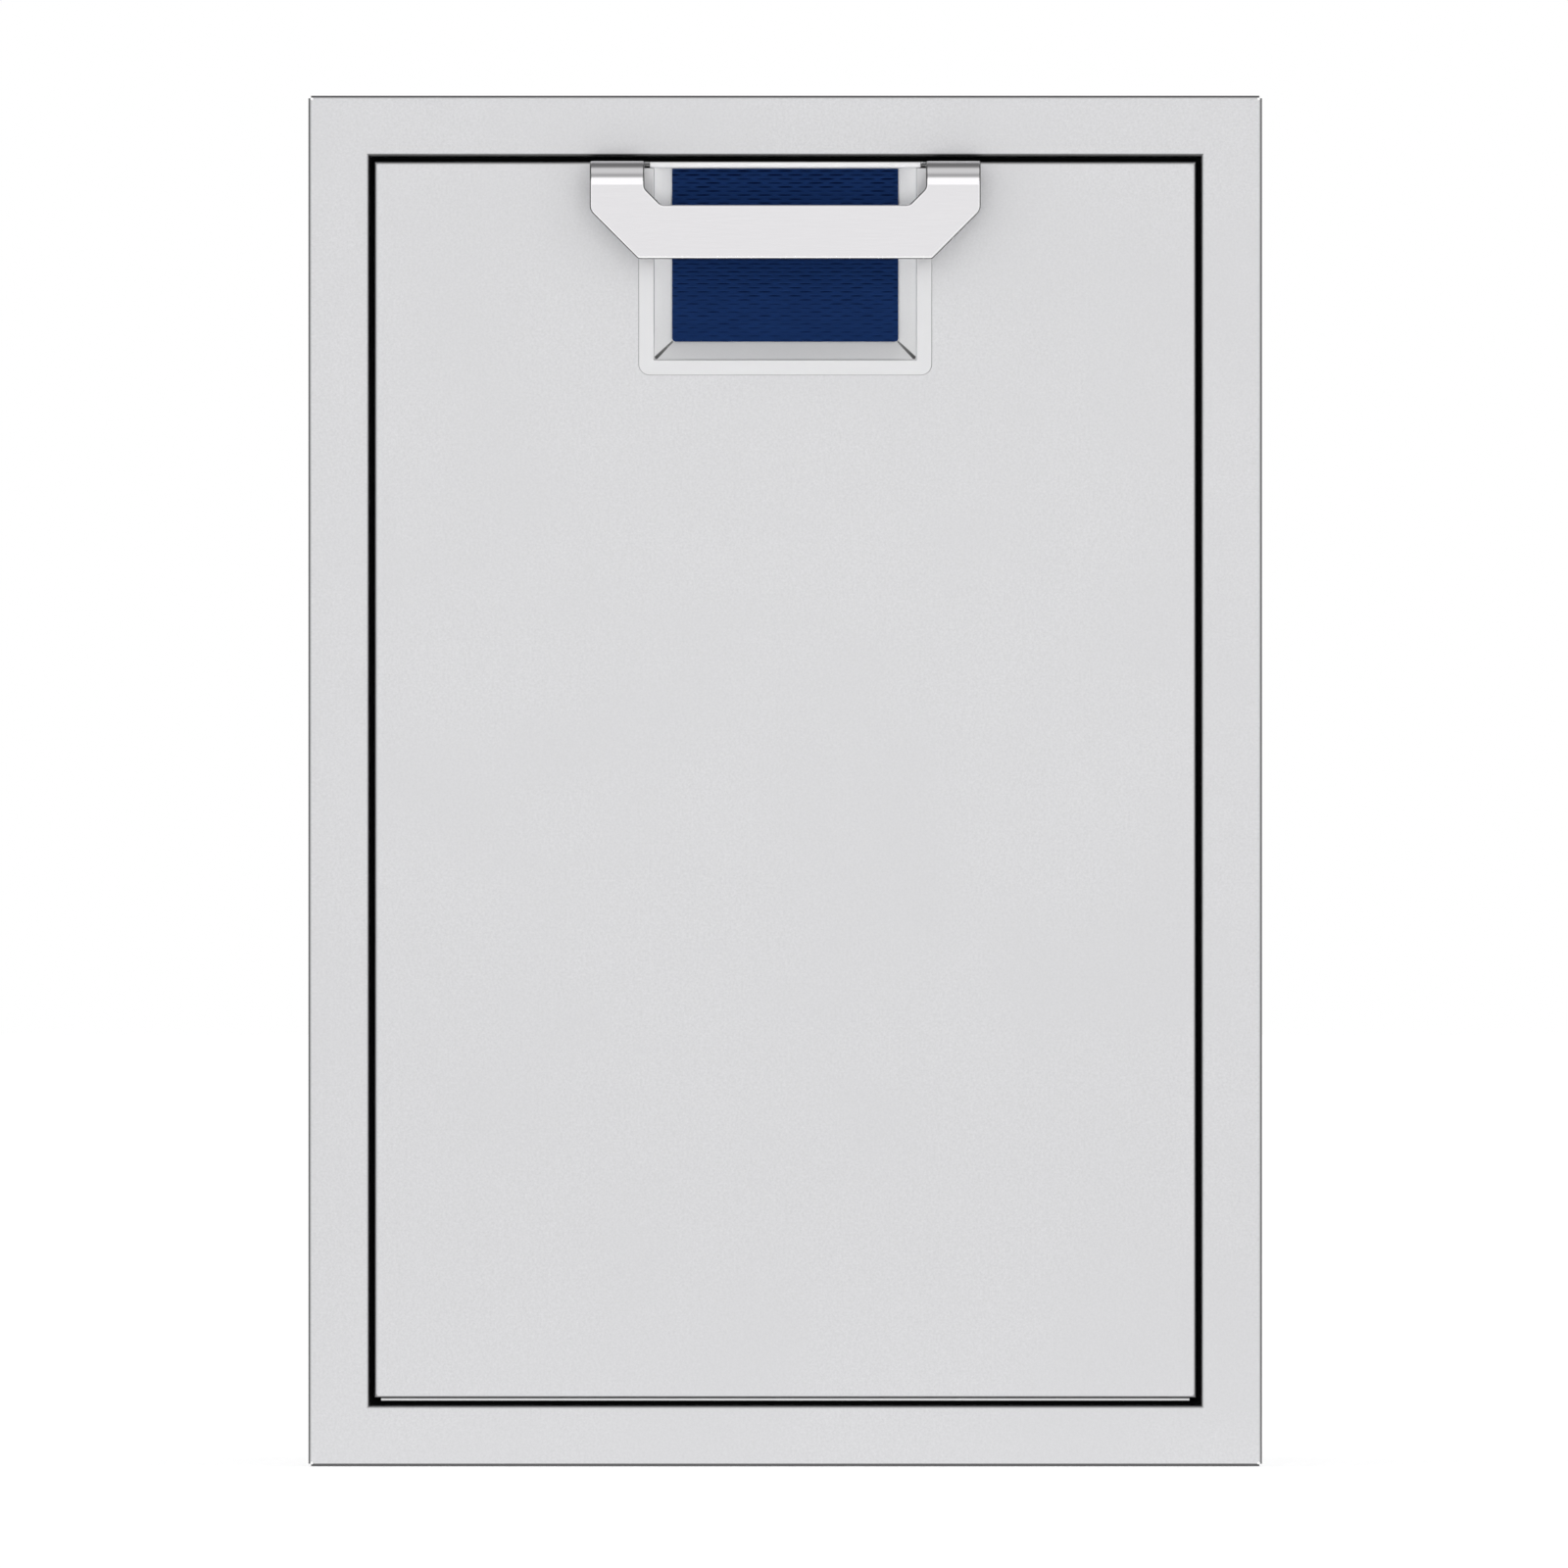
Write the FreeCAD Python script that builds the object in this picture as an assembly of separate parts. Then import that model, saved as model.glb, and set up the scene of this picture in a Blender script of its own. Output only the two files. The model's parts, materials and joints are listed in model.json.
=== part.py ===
import FreeCAD
import Part
import math
import os

# Roll out trash drawer for an outdoor kitchen island, millimetres.
# +X is right seen from the front, +Y goes back into the island, +Z is up.
# x = 0 is the middle, y = 0 the island face behind the flange, z = 0 the sill of the cut-out.

Vector = FreeCAD.Vector

# Face frame
FLANGE_WIDTH = 508.0
FLANGE_HEIGHT = 730.25
FLANGE_BAND = 32.5
FLANGE_DEPTH = 12.7
FRAME_SHEET = 1.2
SEAT_LIP = 14.0
STOP_LIP = 15.0
CORNER_NOTCH = 1.4
CORNER_HOLE_RADIUS = 0.75
CORNER_HOLE_INSET = 1.75
FACE_FOLD = 0.6
FOLD = 0.4

# Cabinet
PANEL_SHEET = 1.2
PANEL_FLANGE = 14.0
PANEL_START = 1.0
FOLD_RELIEF = 6.0
FLANGE_LEG = 12.0
REAR_SPACE = 5.5
BACK_SCREW_ROWS = 4
MOUNT_HOLE_RADIUS = 2.75
MOUNT_HOLE_FRONT = 42.0
MOUNT_HOLE_REAR = 57.75
MOUNT_HOLE_BOTTOM = 80.0
MOUNT_HOLE_TOP = 50.05

# Drawer front
REVEAL = 2.6
FRONT_THICKNESS = 19.05
FRONT_SHEET = 1.2
LINER_RETURN = 6.0
HEM_GAP = 0.3
HEM_SETBACK = 0.5
HEM_NOTCH = 3.6
HEM_CLEARANCE = 0.4
LINER_FIT = 0.1
SKIN_HOLE_RADIUS = 0.5
SKIN_HOLE_INSET = 1.1
SKIN_HOLE_DEPTH = 2.4

# Gasket between the stop lip and the drawer front
GASKET_HEIGHT = 4.7
GASKET_BASE = 1.6
GASKET_WIDTH = 11.5
GASKET_GAP = 0.3
GASKET_EDGE_GAP = 0.25

# Recessed pull
BEZEL_SHEET = 0.8
BEZEL_HALF_WIDTH = 78.2
BEZEL_HEIGHT = 113.9
BEZEL_RIM = 8.1
BEZEL_SLOPE = 9.7
BEZEL_CORNER = 6.0
BEZEL_EDGE_ROUND = 0.6
RECESS_DEPTH = 13.0
LIP_HALF_WIDTH = 72.0
LIP_HEIGHT = 3.6
LIP_NOSE = 0.2
LIP_TAB = 8.0
MITRE_SLIT = 1.9
MITRE_SLIT_END = 1.0
MITRE_INSET = 1.2
MITRE_REACH = 0.8
INSERT_THICKNESS = 1.0
INSERT_GAP = 0.15
INSERT_CORNER = 2.0
CUTOUT_CLEARANCE = 0.5

# Pull handle, one bent plate
HANDLE_PLATE = 4.0
HANDLE_HALF_WIDTH = 104.0
HANDLE_ARM = 29.0
HANDLE_DROP = 52.2
HANDLE_BAR = 28.7
HANDLE_REACH = 38.0
HANDLE_SHOULDER = 25.8
HANDLE_INNER_CHAMFER = 9.0
HANDLE_FRONT_FOLD = 8.7
HANDLE_REAR_FOLD = 2.0
HANDLE_FOOT = 20.0
FOOT_CLEARANCE = 1.0
SHOULDER_RADIUS = 6.0
BAR_RADIUS = 3.0
THROAT_RADIUS = 4.0
PLATE_EDGE_ROUND = 1.0

# Telescopic slides
SLIDE_LENGTH = 559.0
SLIDE_HEIGHT = 45.0
SLIDE_THICKNESS = 12.7
SLIDE_SHEET = 1.2
SLIDE_OPEN_SIDE = 3.0
WEB_GAP = 0.4
CAGE_SHEET = 0.5
CAGE_LENGTH = 260.0
CAGE_START = 146.0
CAGE_LIP = 7.0
BALL_RADIUS = 1.75
BALL_FIT = 0.1
RACE_DEPTH = 0.45
BALL_END = 12.0
SLIDE_END_GAP = 1.5
LIP_CLEARANCE = 1.25
BRACKET_SHEET = 1.2
BRACKET_FLANGE = 14.0
BRACKET_EDGE = 1.5

# Release lever of each slide
LEVER_LENGTH = 84.0
LEVER_HEIGHT = 9.0
LEVER_PADDLE = 14.0
LEVER_THICKNESS = 3.0
LEVER_TAIL = 5.4
LEVER_CORNER = 2.0
LEVER_GROOVES = 4
LEVER_GROOVE_PITCH = 2.4
LEVER_GROOVE_WIDTH = 1.0
LEVER_GROOVE_DEPTH = 0.5
LEVER_PLACE = 200.0
LEVER_GAP = 0.2
RIVET_RADIUS = 2.0
RIVET_FIT = 0.06
RIVET_HEAD_RADIUS = 3.6
RIVET_HEAD = 0.8

# Bin carrier
CARRIER_SHEET = 1.2
CARRIER_HEIGHT = 80.0
CARRIER_FLANGE = 14.0
CARRIER_RETURN = 20.0
CARRIER_END_GAP = 0.2
COLLAR_HEIGHT = 8.0
BRACE_LENGTH = 135.0
BRACE_HEIGHT = 185.0
BRACE_FLANGE = 18.0
BRACE_TOE = 22.0
BRACE_CORNER = 4.0
BRACE_HOLE_RADIUS = 18.0
BRACE_HOLE_BACK = 48.6
BRACE_HOLE_DROP = 55.5

# Bins
BIN_HEIGHT = 546.0
BIN_FLOOR_SPACE = 8.6
BIN_RIM_HEIGHT = 12.0
BIN_RIM_OVERHANG = 13.0
BIN_RIM_THICKNESS = 3.0
BIN_SEAT_GAP = 0.1
BIN_SIDE_SPACE = 9.6
BIN_GAP = 6.0
BIN_FRONT_SPACE = 5.0
BIN_REAR_SPACE = 1.5
BIN_WALL = 2.4
BIN_FLOOR = 6.0
BIN_DRAFT = 12.0
BIN_BODY_CORNER = 32.0
BIN_BASE_ROUND = 7.0
BIN_RIM_ROUND = 2.0
BIN_MOUTH_ROUND = 1.0
BIN_BASE_RIM = 18.0
BIN_BASE_RECESS = 3.0
BIN_HOLE_CLEARANCE = 2.0
GRIP_WIDTH = 96.0

# Screws
SCREW_RADIUS = 2.0
SCREW_HEAD_RADIUS = 3.8
SCREW_HEAD = 2.6
SCREW_TAIL = 3.0
HOLE_CLEARANCE = 0.1
COUNTERSINK_RADIUS = 3.4
HANDLE_SCREW_RADIUS = 2.4
HANDLE_SCREW_DEPTH = 3.2

# Places that follow from the sizes above
OPENING_HALF = FLANGE_WIDTH / 2 - FLANGE_BAND
OPENING_BOTTOM = PANEL_SHEET + FRAME_SHEET
OPENING_TOP = OPENING_BOTTOM + FLANGE_HEIGHT - 2 * FLANGE_BAND
FLANGE_BOTTOM = OPENING_BOTTOM - FLANGE_BAND
FLANGE_TOP = OPENING_TOP + FLANGE_BAND
CABINET_TOP = OPENING_TOP + FRAME_SHEET + PANEL_SHEET
PANEL_INNER = OPENING_HALF + FRAME_SHEET
PANEL_OUTER = PANEL_INNER + PANEL_SHEET
FRONT_HALF = OPENING_HALF - REVEAL
FRONT_BOTTOM = OPENING_BOTTOM + REVEAL
FRONT_TOP = OPENING_TOP - REVEAL
SKIN_BOTTOM = FRONT_BOTTOM + FRONT_SHEET + HEM_GAP
FRONT_FACE = -FLANGE_DEPTH
FRONT_BACK = FRONT_FACE + FRONT_THICKNESS
LINER_FRONT = FRONT_BACK - LINER_RETURN
STOP_FACE = FRONT_BACK + GASKET_GAP + GASKET_HEIGHT
STOP_BACK = STOP_FACE + FRAME_SHEET
SLIDE_START = STOP_BACK + SLIDE_END_GAP
SLIDE_TRAVEL = SLIDE_LENGTH
PANEL_REAR = SLIDE_START + SLIDE_LENGTH + REAR_SPACE + PANEL_SHEET
PANEL_FOLD = PANEL_SHEET + FOLD
MIDDLE_WEB = SLIDE_SHEET + 2 * WEB_GAP + CAGE_SHEET
SLIDE_FACE = OPENING_HALF - STOP_LIP - LIP_CLEARANCE + MIDDLE_WEB
CARRIER_HALF = SLIDE_FACE - SLIDE_THICKNESS
CARRIER_INNER = CARRIER_HALF - CARRIER_SHEET
BIN_BOTTOM = OPENING_BOTTOM + STOP_LIP + BIN_FLOOR_SPACE
CARRIER_TOP = BIN_BOTTOM + BIN_HEIGHT - BIN_RIM_HEIGHT
CARRIER_BOTTOM = CARRIER_TOP - CARRIER_HEIGHT
WALL_TOP = CARRIER_TOP - CARRIER_SHEET
SLIDE_LEVEL = CARRIER_TOP - CARRIER_HEIGHT / 2
BIN_FRONT_EDGE = STOP_BACK + BIN_FRONT_SPACE
BIN_REAR_EDGE = SLIDE_TRAVEL - FLANGE_DEPTH - BIN_REAR_SPACE
BIN_RIM_DEPTH = (BIN_REAR_EDGE - BIN_FRONT_EDGE - BIN_GAP) / 2
BIN_RIM_HALF = CARRIER_INNER - BIN_SIDE_SPACE
BIN_PITCH = BIN_RIM_DEPTH + BIN_GAP
BIN_CENTRES = [BIN_FRONT_EDGE + BIN_RIM_DEPTH / 2 + i * BIN_PITCH for i in range(2)]
CARRIER_REAR = BIN_REAR_EDGE + CARRIER_SHEET + 2 * HOLE_CLEARANCE
RECESS_BACK = FRONT_FACE + RECESS_DEPTH
RECESS_TOP = FRONT_TOP - LIP_HEIGHT
RIM_BOTTOM = FRONT_TOP - BEZEL_HEIGHT
RIM_FACE = FRONT_FACE - BEZEL_SHEET
MOUTH_HALF = BEZEL_HALF_WIDTH - BEZEL_RIM
MOUTH_BOTTOM = RIM_BOTTOM + BEZEL_RIM
POCKET_HALF = MOUTH_HALF - BEZEL_SLOPE
POCKET_BOTTOM = MOUTH_BOTTOM + BEZEL_SLOPE
ARM_INNER = HANDLE_HALF_WIDTH - HANDLE_ARM
FOOT_INNER = BEZEL_HALF_WIDTH + FOOT_CLEARANCE
FAR = 2000.0
SHARP_ANGLE = math.radians(60)

# Where the screws sit
SLIDE_SCREW_PLACES = [SLIDE_START + SLIDE_LENGTH * share for share in (0.06, 0.55, 0.9)]
FRONT_SCREW_SPREAD = CARRIER_INNER - 44.0
FRONT_SCREW_INSET = 18.0
BRACE_SCREW_LEVELS = [CARRIER_BOTTOM - 32.0, CARRIER_BOTTOM - BRACE_HEIGHT + 22.0]
BRACE_SCREW_LINE = CARRIER_HALF - 11.0
PLATE_SCREW_LINE = CARRIER_HALF - 6.0
BRACE_TOP_PLACES = [FRONT_BACK + BRACE_LENGTH * share for share in (0.35, 0.85)]
BACK_SCREW_LINE = PANEL_OUTER - PANEL_FLANGE / 2 - FOLD
FOOT_SCREW_LINES = [FOOT_INNER + (HANDLE_HALF_WIDTH - FOOT_INNER) * share for share in (0.27, 0.73)]
FOOT_SCREW_LEVEL = FRONT_TOP - HANDLE_FOOT * 0.62


def box(x0, x1, y0, y1, z0, z1):
    return Part.makeBox(x1 - x0, y1 - y0, z1 - z0, Vector(x0, y0, z0))


def line(start, end):
    return Part.LineSegment(start, end).toShape()


def left_of(direction):
    return Vector(-direction.y, direction.x, 0)


def directions(path):
    return [(b - a).normalize() for a, b in zip(path, path[1:])]


def shifted(path, distance):
    """Open path moved to its left, corners kept sharp."""
    along = directions(path)
    moved = []
    for i, point in enumerate(path):
        before = left_of(along[max(i - 1, 0)])
        after = left_of(along[min(i, len(along) - 1)])
        moved.append(point + (before + after) * (distance / (1 + before.dot(after))))
    return moved


def strip_side(path, radii, offset, place):
    """Lines and arcs of one side of a folded strip, with its two end points."""
    along = directions(path)
    first = place(path[0] + left_of(along[0]) * offset)
    start = first
    edges = []
    for corner, before, after, radius in zip(path[1:], along, along[1:], radii):
        turn = 1 if before.cross(after).z > 0 else -1
        tangent = radius * math.tan(before.getAngle(after) / 2)
        arc_start = corner - before * tangent + left_of(before) * offset
        arc_end = corner + after * tangent + left_of(after) * offset
        centre = corner - before * tangent + left_of(before) * (turn * radius)
        outward = (corner - centre).normalize()
        arc_middle = centre + outward * (radius - turn * offset)
        edges.append(line(start, place(arc_start)))
        edges.append(Part.Arc(place(arc_start), place(arc_middle), place(arc_end)).toShape())
        start = place(arc_end)
    last = place(path[-1] + left_of(along[-1]) * offset)
    edges.append(line(start, last))
    return edges, first, last


def folded_sheet(path, thickness, folds, place, run):
    """Sheet folded along path, which follows one face; the metal lies to its left.

    folds gives the inside radius of each corner; a negative thickness puts the metal to the right.
    """
    half = thickness / 2
    middle = shifted([Vector(a, b, 0) for a, b in path], half)
    radii = [fold + abs(half) for fold in folds]
    one, one_first, one_last = strip_side(middle, radii, half, place)
    other, other_first, other_last = strip_side(middle, radii, -half, place)
    caps = [line(one_first, other_first), line(one_last, other_last)]
    outline = Part.Wire(Part.__sortEdges__(one + other + caps))
    return Part.Face(outline).extrude(run)


def in_xz(y):
    return lambda p: Vector(p.x, y, p.y)


def in_xy(z):
    return lambda p: Vector(p.x, p.y, z)


def in_yz(x):
    return lambda p: Vector(x, p.x, p.y)


def rounded_wire(corners, place):
    """Closed outline; each corner is (a, b, radius)."""
    points = [Vector(a, b, 0) for a, b, _ in corners]
    count = len(points)
    edges = []
    ends = []
    for i, (point, corner) in enumerate(zip(points, corners)):
        radius = corner[2]
        before = (point - points[i - 1]).normalize()
        after = (points[(i + 1) % count] - point).normalize()
        if not radius:
            ends.append((point, point))
            continue
        tangent = radius * math.tan(before.getAngle(after) / 2)
        turn = 1 if before.cross(after).z > 0 else -1
        centre = point - before * tangent + left_of(before) * (turn * radius)
        middle = centre + (point - centre).normalize() * radius
        start = point - before * tangent
        end = point + after * tangent
        edges.append(Part.Arc(place(start), place(middle), place(end)).toShape())
        ends.append((start, end))
    for i in range(count):
        edges.append(line(place(ends[i - 1][1]), place(ends[i][0])))
    return Part.Wire(Part.__sortEdges__(edges))


def prism(corners, place, run):
    return Part.Face(rounded_wire(corners, place)).extrude(run)


def rectangle(half_a, low_b, high_b, low_radius, high_radius):
    return [
        (-half_a, low_b, low_radius),
        (half_a, low_b, low_radius),
        (half_a, high_b, high_radius),
        (-half_a, high_b, high_radius),
    ]


def joined(shapes):
    return shapes[0].fuse(shapes[1:]).removeSplitter()


def mirrored(shape):
    return shape.mirror(Vector(0, 0, 0), Vector(1, 0, 0))


def both_sides(shapes):
    return shapes + [mirrored(shape) for shape in shapes]


def mitred_ring(length_of, half_width, bottom, top, reach):
    """Four lengths of a section, mitred and joined.

    length_of(side, place, run) makes one; its section runs inward from the ring's outside, then back.
    """
    outer = [(-half_width, bottom), (half_width, bottom), (half_width, top), (-half_width, top)]
    inner = [
        (reach - half_width, bottom + reach),
        (half_width - reach, bottom + reach),
        (half_width - reach, top - reach),
        (reach - half_width, top - reach),
    ]
    inward = [Vector(0, 0, 1), Vector(-1, 0, 0), Vector(0, 0, -1), Vector(1, 0, 0)]
    lengths = []
    for i, side in enumerate(("bottom", "right", "top", "left")):
        j = (i + 1) % len(outer)
        start = Vector(outer[i][0], 0, outer[i][1])
        end = Vector(outer[j][0], 0, outer[j][1])
        place = lambda p, start=start, normal=inward[i]: start + normal * p.x + Vector(0, p.y, 0)
        wedge = [(a, b, 0) for a, b in (outer[i], outer[j], inner[j], inner[i])]
        mitre = prism(wedge, in_xz(-FAR), Vector(0, 2 * FAR, 0))
        lengths.append(length_of(side, place, end - start).common(mitre))
    return joined(lengths)


def rod(base, direction, radius, length):
    return Part.makeCylinder(radius, length, base, direction)


def cone(base, direction, base_radius, end_radius, length):
    return Part.makeCone(base_radius, end_radius, length, base, direction)


def hex_screw(seat, direction, radius, length):
    """Hexagon head screw; the head's underside is at seat, the shank goes along direction."""
    corners = [Vector(SCREW_HEAD_RADIUS, 0, 0)]
    turn = FreeCAD.Rotation(Vector(0, 0, 1), 60)
    for _ in range(5):
        corners.append(turn.multVec(corners[-1]))
    head = Part.Face(Part.makePolygon(corners + corners[:1])).extrude(Vector(0, 0, -SCREW_HEAD))
    shank = rod(Vector(0, 0, 0), Vector(0, 0, 1), radius, length)
    screw = head.fuse(shank)
    screw.Placement = FreeCAD.Placement(seat, FreeCAD.Rotation(Vector(0, 0, 1), direction))
    return screw


def drilled(shape, places, direction, radius, depth):
    """Shape with straight holes that start a depth before each place and end a depth past it."""
    holes = [rod(place - direction * depth, direction, radius, 2 * depth) for place in places]
    return shape.cut(holes)


def sharp_edges(solid, limit):
    """Edges in front of a depth where two faces meet at a clear angle."""
    picked = []
    for edge in solid.Edges:
        faces = solid.ancestorsOfType(edge, Part.Face)
        middle = edge.valueAt((edge.FirstParameter + edge.LastParameter) / 2)
        normals = [face.normalAt(*face.Surface.parameter(middle)) for face in faces]
        sharp = len(normals) == 2 and normals[0].getAngle(normals[1]) > SHARP_ANGLE
        if sharp and middle.y < limit:
            picked.append(edge)
    return picked


def corner_places(half, bottom, top, inset, y):
    """Points a distance in from the four corners of an upright rectangle."""
    levels = (bottom + inset, top - inset)
    return [Vector(side * (half - inset), y, level) for side in (-1, 1) for level in levels]


def face_frame():
    """Flange, opening walls and stop lip in one folded ring; relief holes end its open corners."""
    path = [
        (SEAT_LIP, 0),
        (0, 0),
        (0, -FLANGE_DEPTH),
        (FLANGE_BAND, -FLANGE_DEPTH),
        (FLANGE_BAND, STOP_FACE),
        (FLANGE_BAND + STOP_LIP, STOP_FACE),
    ]
    folds = [FACE_FOLD] * (len(path) - 3) + [FOLD]
    half = FLANGE_WIDTH / 2
    ring = mitred_ring(
        lambda side, place, run: folded_sheet(path, FRAME_SHEET, folds, place, run),
        half,
        FLANGE_BOTTOM,
        FLANGE_TOP,
        FLANGE_BAND + STOP_LIP + FRAME_SHEET,
    )
    notches = []
    for x in (-half, half - CORNER_NOTCH):
        for z in (FLANGE_BOTTOM, FLANGE_TOP - CORNER_NOTCH):
            notches.append(box(x, x + CORNER_NOTCH, -FLANGE_DEPTH, 0, z, z + CORNER_NOTCH))
    holes = corner_places(half, FLANGE_BOTTOM, FLANGE_TOP, CORNER_HOLE_INSET, -FLANGE_DEPTH)
    return drilled(ring.cut(notches), holes, Vector(0, 1, 0), CORNER_HOLE_RADIUS, FLANGE_DEPTH)


def mount_hole_places():
    rows = (MOUNT_HOLE_BOTTOM, CABINET_TOP - MOUNT_HOLE_TOP)
    columns = (MOUNT_HOLE_FRONT, PANEL_REAR - MOUNT_HOLE_REAR)
    return [Vector(PANEL_OUTER, y, z) for y in columns for z in rows]


def side_panel():
    """Right panel: sheet with a top and a rear flange turned inward, and four island screw holes."""
    sheet = box(
        PANEL_INNER, PANEL_OUTER, PANEL_START, PANEL_REAR - PANEL_FOLD, 0, CABINET_TOP - PANEL_FOLD
    )
    top_path = [
        (PANEL_OUTER, CABINET_TOP - FLANGE_LEG),
        (PANEL_OUTER, CABINET_TOP),
        (PANEL_OUTER - PANEL_FLANGE, CABINET_TOP),
    ]
    top_run = Vector(0, PANEL_REAR - FOLD_RELIEF - SLIDE_START, 0)
    top_flange = folded_sheet(top_path, PANEL_SHEET, [FOLD], in_xz(SLIDE_START), top_run)
    rear_path = [
        (PANEL_OUTER, PANEL_REAR - FLANGE_LEG),
        (PANEL_OUTER, PANEL_REAR),
        (PANEL_OUTER - PANEL_FLANGE, PANEL_REAR),
    ]
    rear_run = Vector(0, 0, CABINET_TOP - 2 * FOLD_RELIEF)
    rear_flange = folded_sheet(rear_path, PANEL_SHEET, [FOLD], in_xy(FOLD_RELIEF), rear_run)
    panel = joined([sheet, top_flange, rear_flange])
    panel = drilled(panel, mount_hole_places(), Vector(1, 0, 0), MOUNT_HOLE_RADIUS, 2 * PANEL_SHEET)
    pilots = [place for place in back_screw_places() if place.x > 0]
    return drilled(panel, pilots, Vector(0, 1, 0), SCREW_RADIUS + HOLE_CLEARANCE, 2 * PANEL_SHEET)


def back_screw_places():
    """Under-head points of the back panel's screws."""
    step = CABINET_TOP / BACK_SCREW_ROWS
    levels = [step * (i + 0.5) for i in range(BACK_SCREW_ROWS)]
    rear = PANEL_REAR + PANEL_SHEET
    return [Vector(x, rear, z) for x in (-BACK_SCREW_LINE, BACK_SCREW_LINE) for z in levels]


def back_panel():
    half = PANEL_OUTER - FOLD
    rear = PANEL_REAR + PANEL_SHEET
    sheet = box(-half, half, PANEL_REAR, rear, 0, CABINET_TOP - PANEL_FOLD)
    path = [
        (rear, CABINET_TOP - FLANGE_LEG),
        (rear, CABINET_TOP),
        (rear - PANEL_FLANGE, CABINET_TOP),
    ]
    tongue = PANEL_OUTER - PANEL_FLANGE - PANEL_SHEET
    flange = folded_sheet(path, PANEL_SHEET, [FOLD], in_yz(-tongue), Vector(2 * tongue, 0, 0))
    panel = joined([sheet, flange])
    radius = SCREW_RADIUS + HOLE_CLEARANCE
    return drilled(panel, back_screw_places(), Vector(0, 1, 0), radius, 2 * PANEL_SHEET)


def back_panel_screws():
    length = 2 * PANEL_SHEET + SCREW_TAIL
    screws = [hex_screw(p, Vector(0, -1, 0), SCREW_RADIUS, length) for p in back_screw_places()]
    return Part.makeCompound(screws)


def floor_pan():
    sheet = box(
        PANEL_FOLD - PANEL_INNER, PANEL_INNER - PANEL_FOLD, PANEL_START, PANEL_REAR - PANEL_FOLD, 0, PANEL_SHEET
    )
    side_path = [(PANEL_INNER - FLANGE_LEG, 0), (PANEL_INNER, 0), (PANEL_INNER, PANEL_FLANGE)]
    side_run = Vector(0, PANEL_REAR - FOLD_RELIEF - SLIDE_START, 0)
    side_flange = folded_sheet(side_path, PANEL_SHEET, [FOLD], in_xz(SLIDE_START), side_run)
    rear_path = [(PANEL_REAR - FLANGE_LEG, 0), (PANEL_REAR, 0), (PANEL_REAR, PANEL_FLANGE)]
    tongue = PANEL_OUTER - PANEL_FLANGE - PANEL_SHEET
    rear_flange = folded_sheet(rear_path, PANEL_SHEET, [FOLD], in_yz(-tongue), Vector(2 * tongue, 0, 0))
    return joined([sheet, rear_flange] + both_sides([side_flange]))


def gasket():
    """Ring with a flat base on the stop lip and a half-round bulb toward the drawer front."""
    bulb = GASKET_HEIGHT - GASKET_BASE
    middle = GASKET_WIDTH / 2
    base = STOP_FACE - GASKET_BASE
    crown = STOP_FACE - GASKET_HEIGHT

    def length_of(side, place, run):
        at = lambda a, b: place(Vector(a, b, 0))
        arc = Part.Arc(at(middle - bulb, base), at(middle, crown), at(middle + bulb, base)).toShape()
        corners = [
            at(middle + bulb, base),
            at(GASKET_WIDTH, base),
            at(GASKET_WIDTH, STOP_FACE),
            at(0, STOP_FACE),
            at(0, base),
            at(middle - bulb, base),
        ]
        outline = [arc] + [line(a, b) for a, b in zip(corners, corners[1:])]
        return Part.Face(Part.Wire(Part.__sortEdges__(outline))).extrude(run)

    return mitred_ring(
        length_of,
        OPENING_HALF - GASKET_EDGE_GAP,
        OPENING_BOTTOM + GASKET_EDGE_GAP,
        OPENING_TOP - GASKET_EDGE_GAP,
        GASKET_WIDTH + GASKET_BASE,
    )


def slide_bracket():
    """Right hat-section rail that carries the slide inboard of the stop lip."""
    web = SLIDE_FACE + BRACKET_SHEET
    rise = SLIDE_HEIGHT / 2 + BRACKET_EDGE
    path = [
        (PANEL_INNER, SLIDE_LEVEL + rise + BRACKET_FLANGE),
        (PANEL_INNER, SLIDE_LEVEL + rise),
        (web, SLIDE_LEVEL + rise),
        (web, SLIDE_LEVEL - rise),
        (PANEL_INNER, SLIDE_LEVEL - rise),
        (PANEL_INNER, SLIDE_LEVEL - rise - BRACKET_FLANGE),
    ]
    folds = [FOLD] * (len(path) - 2)
    rail = folded_sheet(path, -BRACKET_SHEET, folds, in_xz(SLIDE_START), Vector(0, SLIDE_LENGTH, 0))
    radius = SCREW_RADIUS + HOLE_CLEARANCE
    return drilled(rail, outer_screw_places(), Vector(1, 0, 0), radius, 2 * BRACKET_SHEET)


def outer_screw_places():
    return [Vector(SLIDE_FACE, y, SLIDE_LEVEL) for y in SLIDE_SCREW_PLACES]


def in_slide(y):
    """Slide section: depth inward from the mounting face, height from the slide's middle."""
    return lambda p: Vector(SLIDE_FACE - p.x, y, SLIDE_LEVEL + p.y)


# Half heights of the three members and of the two ball rows
OUTER_HALF = SLIDE_HEIGHT / 2
RACE_FLAT = BALL_RADIUS + BALL_FIT - RACE_DEPTH
OUTER_ROW = OUTER_HALF - SLIDE_SHEET - RACE_FLAT
MIDDLE_HALF = OUTER_ROW - RACE_FLAT
INNER_ROW = MIDDLE_HALF - SLIDE_SHEET - RACE_FLAT
INNER_HALF = INNER_ROW - RACE_FLAT
INNER_CAGE_WEB = MIDDLE_WEB + SLIDE_SHEET + WEB_GAP
OUTER_BALL_DEPTH = MIDDLE_WEB + CAGE_LIP / 2
INNER_BALL_DEPTH = INNER_CAGE_WEB + CAGE_LIP / 2
INNER_LIP = INNER_CAGE_WEB + CAGE_SHEET + 2 * WEB_GAP


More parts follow.
